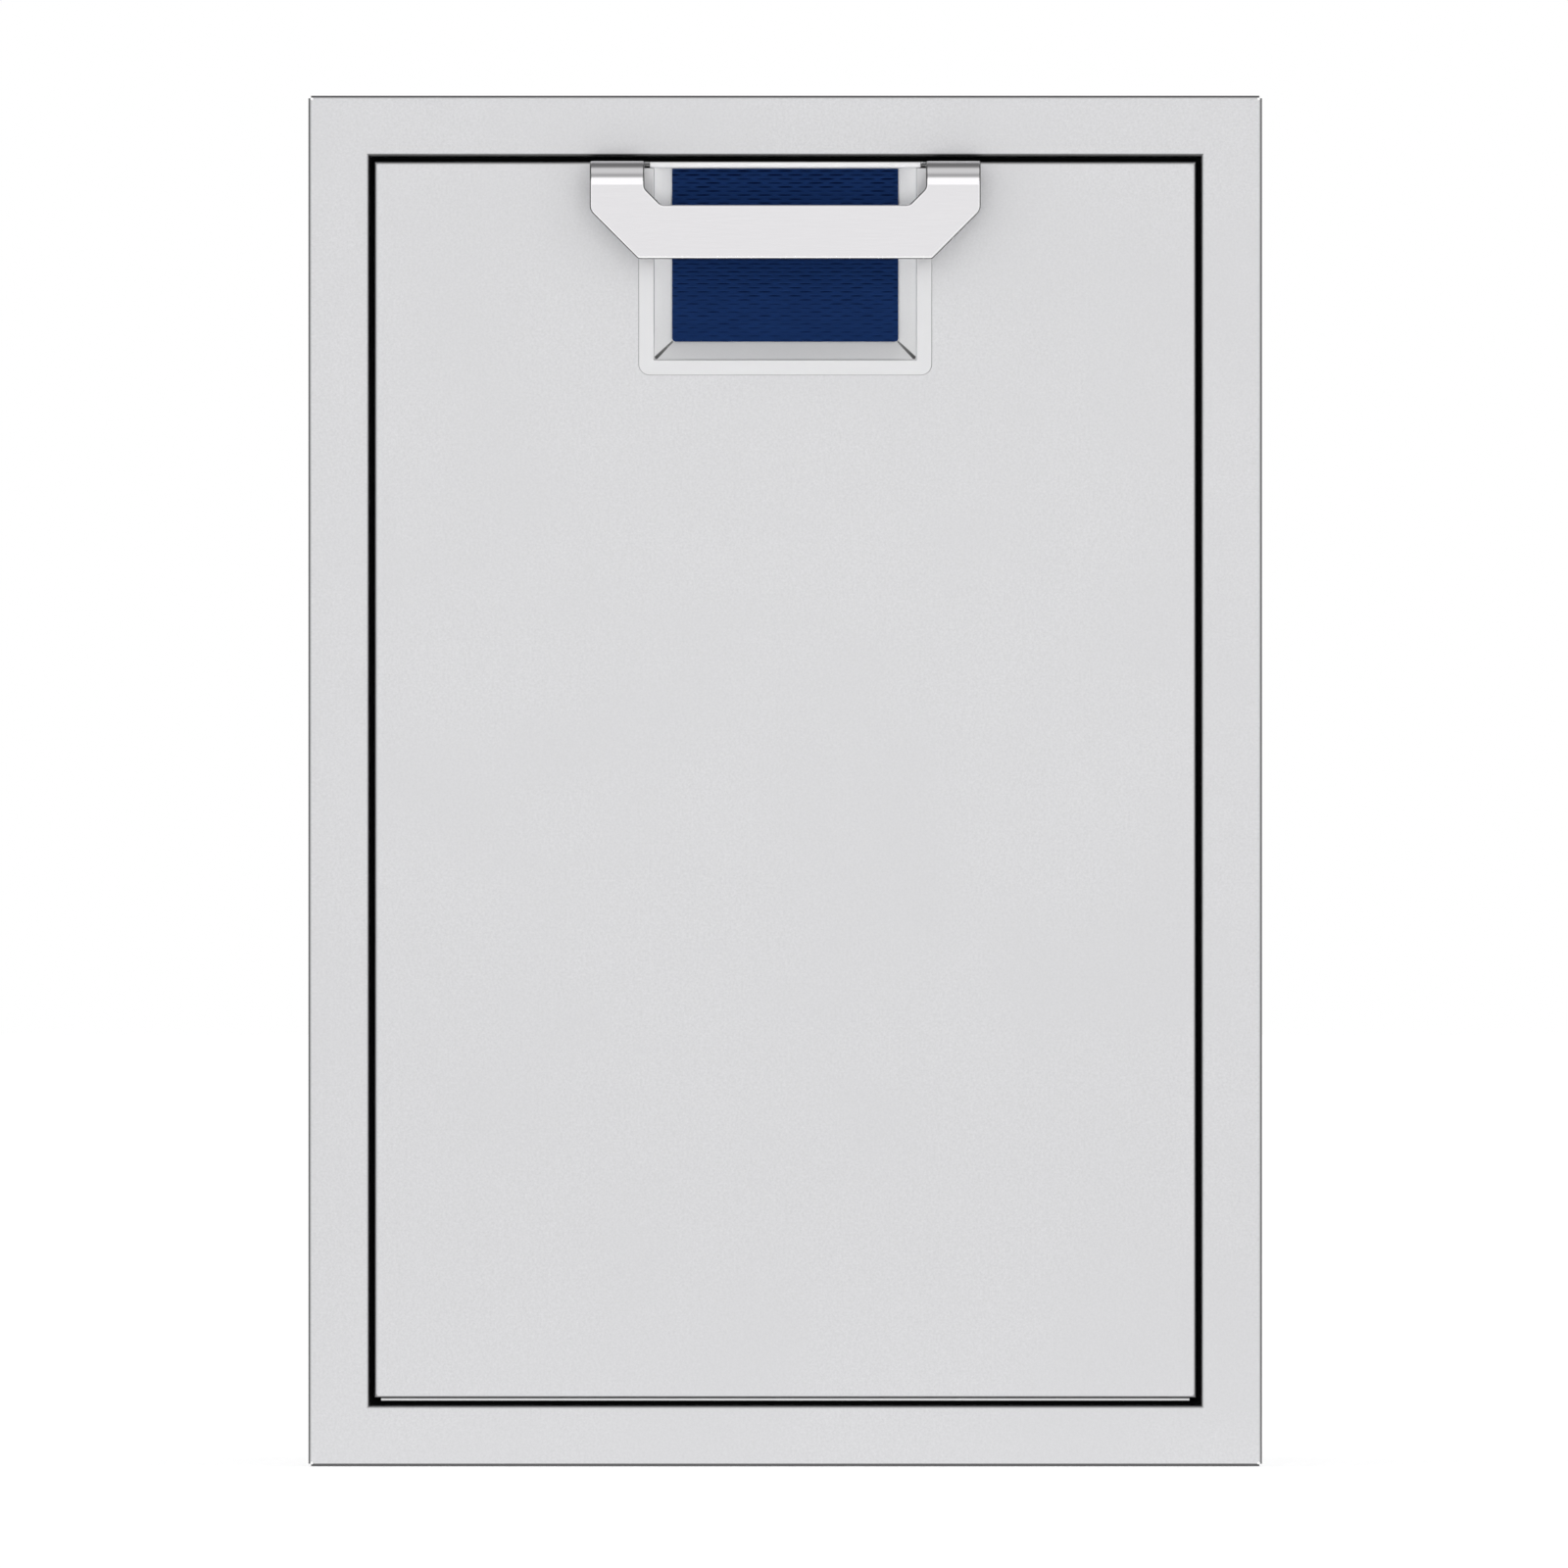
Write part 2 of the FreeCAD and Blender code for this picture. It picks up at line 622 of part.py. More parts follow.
def race_cutters(depth, row):
    """Round grooves for the two ball rows of one race."""
    radius = BALL_RADIUS + BALL_FIT
    starts = [Vector(SLIDE_FACE - depth, SLIDE_START, SLIDE_LEVEL + v) for v in (-row, row)]
    return [rod(start, Vector(0, 1, 0), radius, SLIDE_LENGTH) for start in starts]


def outward_channel(web, lip, half, sheet, start, length):
    """Channel whose open side faces the drawer."""
    path = [(lip, half), (web, half), (web, -half), (lip, -half)]
    return folded_sheet(path, sheet, [FOLD, FOLD], in_slide(start), Vector(0, length, 0))


def slide_outer():
    lip = SLIDE_THICKNESS - SLIDE_OPEN_SIDE
    member = outward_channel(0, lip, OUTER_HALF, SLIDE_SHEET, SLIDE_START, SLIDE_LENGTH)
    sinks = [countersink(place, HOLE_CLEARANCE) for place in outer_screw_places()]
    return member.cut(race_cutters(OUTER_BALL_DEPTH, OUTER_ROW) + sinks)


def countersink(place, growth):
    """Flush head in the outer member's web, larger end toward the drawer."""
    inner = place - Vector(SLIDE_SHEET, 0, 0)
    return cone(inner, Vector(1, 0, 0), COUNTERSINK_RADIUS + growth, SCREW_RADIUS + growth, SLIDE_SHEET)


def slide_outer_screws():
    screws = []
    for place in outer_screw_places():
        shank = rod(place, Vector(1, 0, 0), SCREW_RADIUS, BRACKET_SHEET + SCREW_TAIL)
        screws.append(countersink(place, 0).fuse(shank).removeSplitter())
    return Part.makeCompound(both_sides(screws))


def slide_middle():
    lip = SLIDE_THICKNESS - SLIDE_SHEET - WEB_GAP
    member = outward_channel(MIDDLE_WEB, lip, MIDDLE_HALF, SLIDE_SHEET, SLIDE_START, SLIDE_LENGTH)
    outer_race = race_cutters(OUTER_BALL_DEPTH, OUTER_ROW)
    inner_race = race_cutters(INNER_BALL_DEPTH, INNER_ROW)
    return member.cut(outer_race + inner_race)


def slide_inner():
    path = [
        (INNER_LIP, -INNER_HALF),
        (SLIDE_THICKNESS, -INNER_HALF),
        (SLIDE_THICKNESS, INNER_HALF),
        (INNER_LIP, INNER_HALF),
    ]
    member = folded_sheet(path, SLIDE_SHEET, [FOLD, FOLD], in_slide(SLIDE_START), Vector(0, SLIDE_LENGTH, 0))
    member = member.cut(race_cutters(INNER_BALL_DEPTH, INNER_ROW))
    radius = SCREW_RADIUS + HOLE_CLEARANCE
    member = drilled(member, inner_screw_places(), Vector(1, 0, 0), radius, 3 * SLIDE_SHEET)
    return drilled(member, [rivet_place()], Vector(1, 0, 0), RIVET_RADIUS + RIVET_FIT, 2 * SLIDE_SHEET)


def inner_screw_places():
    """Under-head points on the inner face of the carrier wall."""
    return [Vector(CARRIER_INNER, y, SLIDE_LEVEL) for y in SLIDE_SCREW_PLACES]


def slide_inner_screws():
    length = CARRIER_SHEET + SLIDE_SHEET + SCREW_TAIL / 2
    screws = [hex_screw(p, Vector(1, 0, 0), SCREW_RADIUS, length) for p in inner_screw_places()]
    return Part.makeCompound(both_sides(screws))


def ball_places(depth, row):
    ends = (CAGE_START + BALL_END, CAGE_START + CAGE_LENGTH - BALL_END)
    x = SLIDE_FACE - depth
    return [Vector(x, SLIDE_START + y, SLIDE_LEVEL + v) for y in ends for v in (-row, row)]


def ball_cage(web, depth, row):
    """Thin channel with a pocket round each ball."""
    start = SLIDE_START + CAGE_START
    half = row + CAGE_SHEET / 2
    cage = outward_channel(web, web + CAGE_LIP, half, CAGE_SHEET, start, CAGE_LENGTH)
    return drilled(cage, ball_places(depth, row), Vector(0, 0, 1), BALL_RADIUS + BALL_FIT, 2 * BALL_RADIUS)


def outer_cage():
    return ball_cage(SLIDE_SHEET + WEB_GAP, OUTER_BALL_DEPTH, OUTER_ROW)


def inner_cage():
    return ball_cage(INNER_CAGE_WEB, INNER_BALL_DEPTH, INNER_ROW)


def balls(depth, row):
    return Part.makeCompound([Part.makeSphere(BALL_RADIUS, place) for place in ball_places(depth, row)])


# Release lever, stacked on its rivet inside the inner member
LEVER_OUTER = SLIDE_THICKNESS - SLIDE_SHEET - LEVER_GAP - RIVET_HEAD
LEVER_INNER = LEVER_OUTER - LEVER_THICKNESS


def rivet_place():
    return Vector(CARRIER_HALF + SLIDE_SHEET / 2, SLIDE_START + LEVER_PLACE, SLIDE_LEVEL)


def release_lever():
    """Plastic bar that rocks on a rivet, with a grooved thumb paddle at its front end."""
    middle = SLIDE_START + LEVER_PLACE
    half = LEVER_LENGTH / 2
    slim = LEVER_HEIGHT / 2
    paddle = LEVER_PADDLE / 2
    lower = [
        (middle - half, -paddle),
        (middle - half + 2 * paddle, -paddle),
        (middle - half + 3 * paddle, -slim),
        (middle + half, -LEVER_TAIL / 2),
    ]
    upper = [(y, -z) for y, z in reversed(lower)]
    outline = [(y, z, LEVER_CORNER) for y, z in lower + upper]
    place = lambda p: Vector(SLIDE_FACE - LEVER_OUTER, p.x, SLIDE_LEVEL + p.y)
    bar = prism(outline, place, Vector(LEVER_THICKNESS, 0, 0))
    face = SLIDE_FACE - LEVER_INNER
    low = SLIDE_LEVEL - LEVER_PADDLE
    high = SLIDE_LEVEL + LEVER_PADDLE
    grooves = []
    for i in range(LEVER_GROOVES):
        start = middle - half + paddle + (i - LEVER_GROOVES / 2) * LEVER_GROOVE_PITCH
        start += (LEVER_GROOVE_PITCH - LEVER_GROOVE_WIDTH) / 2
        end = start + LEVER_GROOVE_WIDTH
        grooves.append(box(face - LEVER_GROOVE_DEPTH, face + LEVER_THICKNESS, start, end, low, high))
    bar = bar.cut(grooves)
    return drilled(bar, [rivet_place()], Vector(1, 0, 0), RIVET_RADIUS + RIVET_FIT, SLIDE_THICKNESS)


def lever_rivet():
    """Shouldered rivet: flush tail in the member's web, shoulder, pin through the lever, head."""
    x, y, z = rivet_place()
    toward_side = Vector(1, 0, 0)
    at = lambda depth: Vector(SLIDE_FACE - depth, y, z)
    head_start = LEVER_INNER - LEVER_GAP
    pin = rod(at(SLIDE_THICKNESS), toward_side, RIVET_RADIUS, SLIDE_THICKNESS - head_start)
    shoulder = rod(at(LEVER_OUTER + LEVER_GAP + RIVET_HEAD), toward_side, RIVET_HEAD_RADIUS, RIVET_HEAD)
    head = rod(at(head_start), toward_side, RIVET_HEAD_RADIUS, RIVET_HEAD)
    return joined([pin, shoulder, head])


def lever_rivets():
    return Part.makeCompound(both_sides([lever_rivet()]))


def front_skin():
    """Outer pan of the drawer front, with the recess cut out of it; its bottom return stops at the liner."""
    leg = 3 * FRONT_SHEET + FACE_FOLD

    def edge_fold(side, place, run):
        back = LINER_FRONT - HEM_CLEARANCE if side == "bottom" else FRONT_BACK
        path = [(leg, FRONT_FACE), (0, FRONT_FACE), (0, back)]
        return folded_sheet(path, -FRONT_SHEET, [FACE_FOLD], place, run)

    edges = mitred_ring(edge_fold, FRONT_HALF, SKIN_BOTTOM, FRONT_TOP, leg + FRONT_SHEET)
    inset = leg - FRONT_SHEET
    sheet = box(
        inset - FRONT_HALF,
        FRONT_HALF - inset,
        FRONT_FACE,
        FRONT_FACE + FRONT_SHEET,
        SKIN_BOTTOM + inset,
        FRONT_TOP - inset,
    )
    half = MOUTH_HALF + BEZEL_SHEET + CUTOUT_CLEARANCE
    bottom = MOUTH_BOTTOM - BEZEL_SHEET - CUTOUT_CLEARANCE
    depth = Vector(0, 2 * FRONT_SHEET, 0)
    window = prism(rectangle(half, bottom, FRONT_TOP - leg, 0, 0), in_xz(FRONT_FACE - FRONT_SHEET), depth)
    lip_gap = box(
        -ARM_INNER,
        ARM_INNER,
        FRONT_FACE - FRONT_SHEET,
        FRONT_FACE + LIP_TAB + LIP_HEIGHT,
        RECESS_TOP,
        FRONT_TOP + FRONT_SHEET,
    )
    neck = box(-half, half, FRONT_FACE - FRONT_SHEET, FRONT_FACE + FRONT_SHEET, FRONT_TOP - 2 * leg, FRONT_TOP)
    skin = joined([sheet, edges]).cut([window, lip_gap, neck])
    holes = corner_places(FRONT_HALF, SKIN_BOTTOM, FRONT_TOP, SKIN_HOLE_INSET, FRONT_FACE)
    skin = drilled(skin, holes, Vector(0, 1, 0), SKIN_HOLE_RADIUS, SKIN_HOLE_DEPTH)
    radius = HANDLE_SCREW_RADIUS + HOLE_CLEARANCE
    return drilled(skin, foot_screw_places(), Vector(0, 1, 0), radius, 2 * FRONT_SHEET)


def front_liner():
    """Inner pan that closes the back of the hollow front; its bottom hem runs forward under the skin."""
    gap = FRONT_SHEET + LINER_FIT
    half = FRONT_HALF - gap
    top = FRONT_TOP - gap
    leg = 3 * FRONT_SHEET

    def edge_fold(side, place, run):
        front = FRONT_FACE + HEM_SETBACK if side == "bottom" else LINER_FRONT
        path = [(leg, FRONT_BACK), (0, FRONT_BACK), (0, front)]
        return folded_sheet(path, FRONT_SHEET, [FOLD], place, run)

    edges = mitred_ring(edge_fold, half, FRONT_BOTTOM, top, leg + FRONT_SHEET)
    inset = leg - FRONT_SHEET
    sheet = box(
        inset - half, half - inset, FRONT_BACK - FRONT_SHEET, FRONT_BACK, FRONT_BOTTOM + inset, top - inset
    )
    notch = box(
        FRONT_HALF - HEM_NOTCH, FRONT_HALF, FRONT_FACE, FRONT_BACK, FRONT_BOTTOM, SKIN_BOTTOM
    )
    liner = joined([sheet, edges]).cut([notch, mirrored(notch)])
    radius = SCREW_RADIUS + HOLE_CLEARANCE
    return drilled(liner, front_screw_places(), Vector(0, 1, 0), radius, 3 * FRONT_SHEET)


def recess_space(growth, front, back):
    """Tapered pocket between two levels of depth, grown sideways and down by growth."""
    def outline(y, half, bottom):
        corners = rectangle(half + growth, bottom - growth, RECESS_TOP, 0, 0)
        return rounded_wire(corners, in_xz(y))

    mouth = outline(front, MOUTH_HALF, MOUTH_BOTTOM)
    floor = outline(back, POCKET_HALF, POCKET_BOTTOM)
    return Part.makeLoft([mouth, floor], True, True)


def handle_bezel():
    """Rim, tapered pan and rolled top lip of the recess, one folded sheet."""
    rim_corners = rectangle(BEZEL_HALF_WIDTH, RIM_BOTTOM, RECESS_TOP, BEZEL_CORNER, 0)
    rim = prism(rim_corners, in_xz(RIM_FACE), Vector(0, BEZEL_SHEET, 0))
    floor_outline = rectangle(
        POCKET_HALF + BEZEL_SHEET, POCKET_BOTTOM - BEZEL_SHEET, RECESS_TOP, 0, 0
    )
    floor = prism(floor_outline, in_xz(RECESS_BACK), Vector(0, BEZEL_SHEET, 0))
    walls = recess_space(BEZEL_SHEET, RIM_FACE, RECESS_BACK)
    pocket = recess_space(0, RIM_FACE, RECESS_BACK)
    lip_path = [
        (FRONT_FACE + LIP_TAB, FRONT_TOP),
        (RIM_FACE, FRONT_TOP),
        (RIM_FACE, RECESS_TOP),
        (RECESS_BACK + BEZEL_SHEET, RECESS_TOP),
    ]
    lip = folded_sheet(
        lip_path, BEZEL_SHEET, [LIP_NOSE, FOLD / 2], in_yz(-LIP_HALF_WIDTH), Vector(2 * LIP_HALF_WIDTH, 0, 0)
    )
    bezel = joined([rim, walls, floor]).cut(pocket).Solids[0]
    bezel = bezel.makeFillet(BEZEL_EDGE_ROUND, rim_edges(bezel))
    bezel = joined([bezel, lip])
    slit = mitre_slit()
    return bezel.cut([slit, mirrored(slit)])


def rim_edges(bezel):
    """Outer and mouth edges of the rim's face, without its cut top ends."""
    near = 1e-6
    picked = []
    for edge in bezel.Edges:
        b = edge.BoundBox
        on_face = b.YLength < near and abs(b.YMin - RIM_FACE) < near
        if on_face and b.ZMin < RECESS_TOP - near:
            picked.append(edge)
    return picked


def mitre_slit():
    """Open seam along the lower right corner of the pan, round and wider at its outer end."""
    front = RIM_FACE - BEZEL_SHEET
    depth = Vector(0, RECESS_BACK + BEZEL_SHEET - front, 0)
    wide = MITRE_SLIT / 2
    narrow = MITRE_SLIT_END / 2
    start = MITRE_INSET + wide
    end = BEZEL_SLOPE * math.sqrt(2) + MITRE_REACH
    corners = [
        Vector(start, front, -wide),
        Vector(end, front, -narrow),
        Vector(end, front, narrow),
        Vector(start, front, wide),
    ]
    taper = Part.Face(Part.makePolygon(corners + corners[:1])).extrude(depth)
    slit = taper.fuse(rod(Vector(start, front, 0), Vector(0, 1, 0), wide, depth.y))
    slit.rotate(Vector(0, 0, 0), Vector(0, 1, 0), 180 + 45)
    slit.translate(Vector(MOUTH_HALF, 0, MOUTH_BOTTOM))
    return slit


def bezel_insert():
    half = POCKET_HALF - INSERT_GAP
    corners = rectangle(half, POCKET_BOTTOM + INSERT_GAP, RECESS_TOP - INSERT_GAP, INSERT_CORNER, 0)
    return prism(corners, in_xz(RECESS_BACK - INSERT_THICKNESS), Vector(0, INSERT_THICKNESS, 0))


def foot_screw_places():
    """Points where the handle's screws cross the drawer front's face."""
    return [Vector(side * x, FRONT_FACE, FOOT_SCREW_LEVEL) for side in (-1, 1) for x in FOOT_SCREW_LINES]


def pull_handle():
    """Bent plate: foot on the front, roll over the top, bar with 45 degree shoulders."""
    nose = FRONT_FACE - HANDLE_REACH
    path = [
        (FRONT_FACE, FRONT_TOP - HANDLE_FOOT),
        (FRONT_FACE, FRONT_TOP),
        (nose, FRONT_TOP),
        (nose, FRONT_TOP - HANDLE_DROP),
    ]
    half = HANDLE_HALF_WIDTH
    folds = [HANDLE_REAR_FOLD, HANDLE_FRONT_FOLD]
    plate = folded_sheet(path, HANDLE_PLATE, folds, in_yz(-half), Vector(2 * half, 0, 0))
    bottom = FRONT_TOP - HANDLE_DROP
    bar_top = bottom + HANDLE_BAR
    shoulder = bottom + HANDLE_SHOULDER
    bar_half = half - HANDLE_SHOULDER
    throat = ARM_INNER - HANDLE_INNER_CHAMFER
    crown = FRONT_TOP + HANDLE_PLATE
    outline = [
        (half, crown, 0),
        (half, shoulder, SHOULDER_RADIUS),
        (bar_half, bottom, BAR_RADIUS),
        (-bar_half, bottom, BAR_RADIUS),
        (-half, shoulder, SHOULDER_RADIUS),
        (-half, crown, 0),
        (-ARM_INNER, crown, 0),
        (-ARM_INNER, bar_top + HANDLE_INNER_CHAMFER, THROAT_RADIUS),
        (-throat, bar_top, THROAT_RADIUS),
        (throat, bar_top, THROAT_RADIUS),
        (ARM_INNER, bar_top + HANDLE_INNER_CHAMFER, THROAT_RADIUS),
        (ARM_INNER, crown, 0),
    ]
    depth = HANDLE_REACH + HANDLE_PLATE
    cookie = prism(outline, in_xz(nose - HANDLE_PLATE), Vector(0, depth + HANDLE_PLATE, 0))
    foot_front = FRONT_FACE - HANDLE_PLATE - HANDLE_REAR_FOLD
    trim = box(-FOOT_INNER, FOOT_INNER, foot_front, FRONT_FACE, bottom, crown)
    handle = plate.common(cookie).cut(trim).Solids[0]
    handle = handle.makeFillet(PLATE_EDGE_ROUND, sharp_edges(handle, foot_front - HANDLE_PLATE))
    hole = HANDLE_SCREW_RADIUS + HOLE_CLEARANCE
    depth = HANDLE_SCREW_DEPTH + HOLE_CLEARANCE
    taps = [rod(place, Vector(0, -1, 0), hole, depth) for place in foot_screw_places()]
    return handle.cut(taps)


def handle_screws():
    seats = [place + Vector(0, FRONT_SHEET, 0) for place in foot_screw_places()]
    length = FRONT_SHEET + HANDLE_SCREW_DEPTH
    screws = [hex_screw(seat, Vector(0, -1, 0), HANDLE_SCREW_RADIUS, length) for seat in seats]
    return Part.makeCompound(screws)


def carrier_side():
    """Right channel wall of the bin carrier, flanges turned inward."""
    inner = CARRIER_HALF - CARRIER_FLANGE
    path = [
        (inner, CARRIER_BOTTOM),
        (CARRIER_HALF, CARRIER_BOTTOM),
        (CARRIER_HALF, WALL_TOP),
        (inner, WALL_TOP),
    ]
    run = Vector(0, CARRIER_REAR - FRONT_BACK, 0)
    wall = folded_sheet(path, CARRIER_SHEET, [FOLD, FOLD], in_xz(FRONT_BACK), run)
    radius = SCREW_RADIUS + HOLE_CLEARANCE
    wall = drilled(wall, inner_screw_places(), Vector(1, 0, 0), radius, 2 * CARRIER_SHEET)
    plate_pilots = [place for place in plate_screw_places() if place.x > 0]
    brace_pilots = [place for place in brace_screw_places() if place.x > 0]
    return drilled(wall, plate_pilots + brace_pilots, Vector(0, 0, 1), radius, 3 * CARRIER_SHEET)


def carrier_end(wall_face, toward):
    """End wall between the side walls, its returns turned along Y in the direction toward."""
    path = [
        (CARRIER_INNER, wall_face + toward * CARRIER_RETURN),
        (CARRIER_INNER, wall_face),
        (-CARRIER_INNER, wall_face),
        (-CARRIER_INNER, wall_face + toward * CARRIER_RETURN),
    ]
    low = CARRIER_BOTTOM + CARRIER_SHEET + CARRIER_END_GAP
    high = WALL_TOP - CARRIER_SHEET - CARRIER_END_GAP
    return folded_sheet(path, -toward * CARRIER_SHEET, [FOLD, FOLD], in_xy(low), Vector(0, 0, high - low))


def carrier_front():
    radius = SCREW_RADIUS + HOLE_CLEARANCE
    wall = carrier_end(FRONT_BACK, 1)
    return drilled(wall, front_screw_places(), Vector(0, 1, 0), radius, 3 * CARRIER_SHEET)


def carrier_rear():
    return carrier_end(CARRIER_REAR, -1)


def bin_outline(centre, inset, level):
    """Rounded rectangle inset from a bin's rim, at a level; its corners keep their centres."""
    half_depth = BIN_RIM_DEPTH / 2 - inset
    corner = BIN_BODY_CORNER + BIN_RIM_OVERHANG - inset
    corners = rectangle(BIN_RIM_HALF - inset, centre - half_depth, centre + half_depth, corner, corner)
    return rounded_wire(corners, in_xy(level))


def bin_block(centre, inset, low, high):
    return Part.Face(bin_outline(centre, inset, low)).extrude(Vector(0, 0, high - low))


def carrier_plate():
    """Top plate with a flanged hole for each bin."""
    plate = box(-CARRIER_HALF, CARRIER_HALF, FRONT_BACK, CARRIER_REAR, WALL_TOP, CARRIER_TOP)
    inset = BIN_RIM_OVERHANG - BIN_HOLE_CLEARANCE
    low = CARRIER_TOP - COLLAR_HEIGHT
    collars = []
    holes = []
    for centre in BIN_CENTRES:
        collars.append(bin_block(centre, inset - CARRIER_SHEET, low, CARRIER_TOP))
        holes.append(bin_block(centre, inset, low, CARRIER_TOP))
    plate = joined([plate] + collars).cut(holes)
    return drilled(plate, plate_screw_places(), Vector(0, 0, 1), SCREW_RADIUS + HOLE_CLEARANCE, CARRIER_SHEET * 2)


def plate_screw_places():
    """Under-head points on the carrier plate."""
    return [
        Vector(x, y, CARRIER_TOP)
        for x in (-PLATE_SCREW_LINE, PLATE_SCREW_LINE)
        for y in SLIDE_SCREW_PLACES
    ]


def brace_screw_places():
    """Under-head points on the braces' top flanges, below the carrier walls."""
    level = CARRIER_BOTTOM - CARRIER_SHEET
    return [
        Vector(x, y, level)
        for x in (-PLATE_SCREW_LINE, PLATE_SCREW_LINE)
        for y in BRACE_TOP_PLACES
    ]


def carrier_screws():
    length = 2 * CARRIER_SHEET + SCREW_TAIL
    screws = [hex_screw(p, Vector(0, 0, -1), SCREW_RADIUS, length) for p in plate_screw_places()]
    screws += [hex_screw(p, Vector(0, 0, 1), SCREW_RADIUS, length) for p in brace_screw_places()]
    return Part.makeCompound(screws)


def front_brace():
    """Right gusset that holds the tall front square to the carrier."""
    foot = CARRIER_BOTTOM - BRACE_HEIGHT
    reach = FRONT_BACK + BRACE_LENGTH
    fold = CARRIER_SHEET + FOLD
    web_outline = [
        (FRONT_BACK + fold, foot, 0),
        (FRONT_BACK + BRACE_TOE, foot, BRACE_CORNER),
        (reach, CARRIER_BOTTOM - BRACE_TOE, BRACE_CORNER),
        (reach, CARRIER_BOTTOM - fold, 0),
        (FRONT_BACK + fold, CARRIER_BOTTOM - fold, 0),
    ]
    web = prism(web_outline, in_yz(CARRIER_INNER), Vector(CARRIER_SHEET, 0, 0))
    top_path = [
        (CARRIER_HALF, CARRIER_BOTTOM - FLANGE_LEG),
        (CARRIER_HALF, CARRIER_BOTTOM),
        (CARRIER_HALF - CARRIER_FLANGE, CARRIER_BOTTOM),
    ]
    top_start = FRONT_BACK + FOLD_RELIEF
    top_run = Vector(0, reach - top_start, 0)
    top_flange = folded_sheet(top_path, CARRIER_SHEET, [FOLD], in_xz(top_start), top_run)
    front_path = [
        (CARRIER_HALF, FRONT_BACK + FLANGE_LEG),
        (CARRIER_HALF, FRONT_BACK),
        (CARRIER_HALF - BRACE_FLANGE, FRONT_BACK),
    ]
    front_run = Vector(0, 0, BRACE_HEIGHT - FOLD_RELIEF)
    front_flange = folded_sheet(front_path, -CARRIER_SHEET, [FOLD], in_xy(foot), front_run)
    brace = joined([web, top_flange, front_flange])
    eye = Vector(CARRIER_HALF, FRONT_BACK + BRACE_HOLE_BACK, CARRIER_BOTTOM - BRACE_HOLE_DROP)
    brace = drilled(brace, [eye], Vector(1, 0, 0), BRACE_HOLE_RADIUS, 2 * CARRIER_SHEET)
    radius = SCREW_RADIUS + HOLE_CLEARANCE
    front_pilots = [place for place in front_screw_places() if place.x > 0]
    brace = drilled(brace, front_pilots, Vector(0, 1, 0), radius, 3 * CARRIER_SHEET)
    top_pilots = [place for place in brace_screw_places() if place.x > 0]
    return drilled(brace, top_pilots, Vector(0, 0, 1), radius, 2 * CARRIER_SHEET)


def front_screw_places():
    """Under-head points of the screws that hold the front to the carrier and the braces."""
    level_low = CARRIER_BOTTOM + FRONT_SCREW_INSET
    level_high = WALL_TOP - FRONT_SCREW_INSET
    y = FRONT_BACK + CARRIER_SHEET
    wall = [
        Vector(x, y, z)
        for x in (-FRONT_SCREW_SPREAD, 0, FRONT_SCREW_SPREAD)
        for z in (level_low, level_high)
    ]
    braces = [
        Vector(x, y, z) for x in (-BRACE_SCREW_LINE, BRACE_SCREW_LINE) for z in BRACE_SCREW_LEVELS
    ]
    return wall + braces


def front_screws():
    length = CARRIER_SHEET + FRONT_SHEET + SCREW_TAIL
    screws = [hex_screw(p, Vector(0, -1, 0), SCREW_RADIUS, length) for p in front_screw_places()]
    return Part.makeCompound(screws)


def trash_bin(centre):
    """Tapered bin with a hollow turned-down rim, grip notches and a recessed base."""
    top = BIN_BOTTOM + BIN_HEIGHT
    seat = CARRIER_TOP + BIN_SEAT_GAP
    rim_under = top - BIN_RIM_THICKNESS
    floor_level = BIN_BOTTOM + BIN_FLOOR
    base_inset = BIN_RIM_OVERHANG + BIN_DRAFT
    floor_inset = base_inset + BIN_WALL - BIN_DRAFT * BIN_FLOOR / BIN_HEIGHT
    base = bin_outline(centre, base_inset, BIN_BOTTOM)
    mouth = bin_outline(centre, BIN_RIM_OVERHANG, top)
    body = Part.makeLoft([base, mouth], True, True)
    body = body.makeFillet(BIN_BASE_ROUND, level_edges(body, BIN_BOTTOM))
    rim = bin_block(centre, 0, seat, top)
    rim = rim.makeFillet(BIN_RIM_ROUND, level_edges(rim, top))
    under_rim = bin_block(centre, BIN_WALL, seat, rim_under)
    floor = bin_outline(centre, floor_inset, floor_level)
    inner_mouth = bin_outline(centre, BIN_RIM_OVERHANG + BIN_WALL, top)
    hollow = Part.makeLoft([floor, inner_mouth], True, True)
    recess = bin_block(centre, base_inset + BIN_BASE_RIM, BIN_BOTTOM, BIN_BOTTOM + BIN_BASE_RECESS)
    near = centre - GRIP_WIDTH / 2
    grip = box(
        BIN_RIM_HALF - 2 * BIN_WALL, BIN_RIM_HALF + BIN_WALL, near, near + GRIP_WIDTH, CARRIER_TOP, rim_under
    )
    shell = joined([rim.cut(under_rim), body]).cut([hollow, recess, grip, mirrored(grip)])
    lip = [edge for edge in level_edges(shell, top) if inside_mouth(edge, centre)]
    return shell.makeFillet(BIN_MOUTH_ROUND, lip)


def level_edges(solid, level):
    """Edges that lie flat at a level."""
    near = 1e-6
    boxes = [(edge, edge.BoundBox) for edge in solid.Edges]
    return [edge for edge, b in boxes if b.ZLength < near and abs(b.ZMin - level) < near]


def inside_mouth(edge, centre):
    """True for an edge of the bin's mouth, false for one of its rim's outside."""
    limit = BIN_RIM_OVERHANG / 2
    b = edge.BoundBox
    half_depth = BIN_RIM_DEPTH / 2 - limit
    reach = BIN_RIM_HALF - limit
    return max(-b.XMin, b.XMax) < reach and max(centre - b.YMin, b.YMax - centre) < half_depth


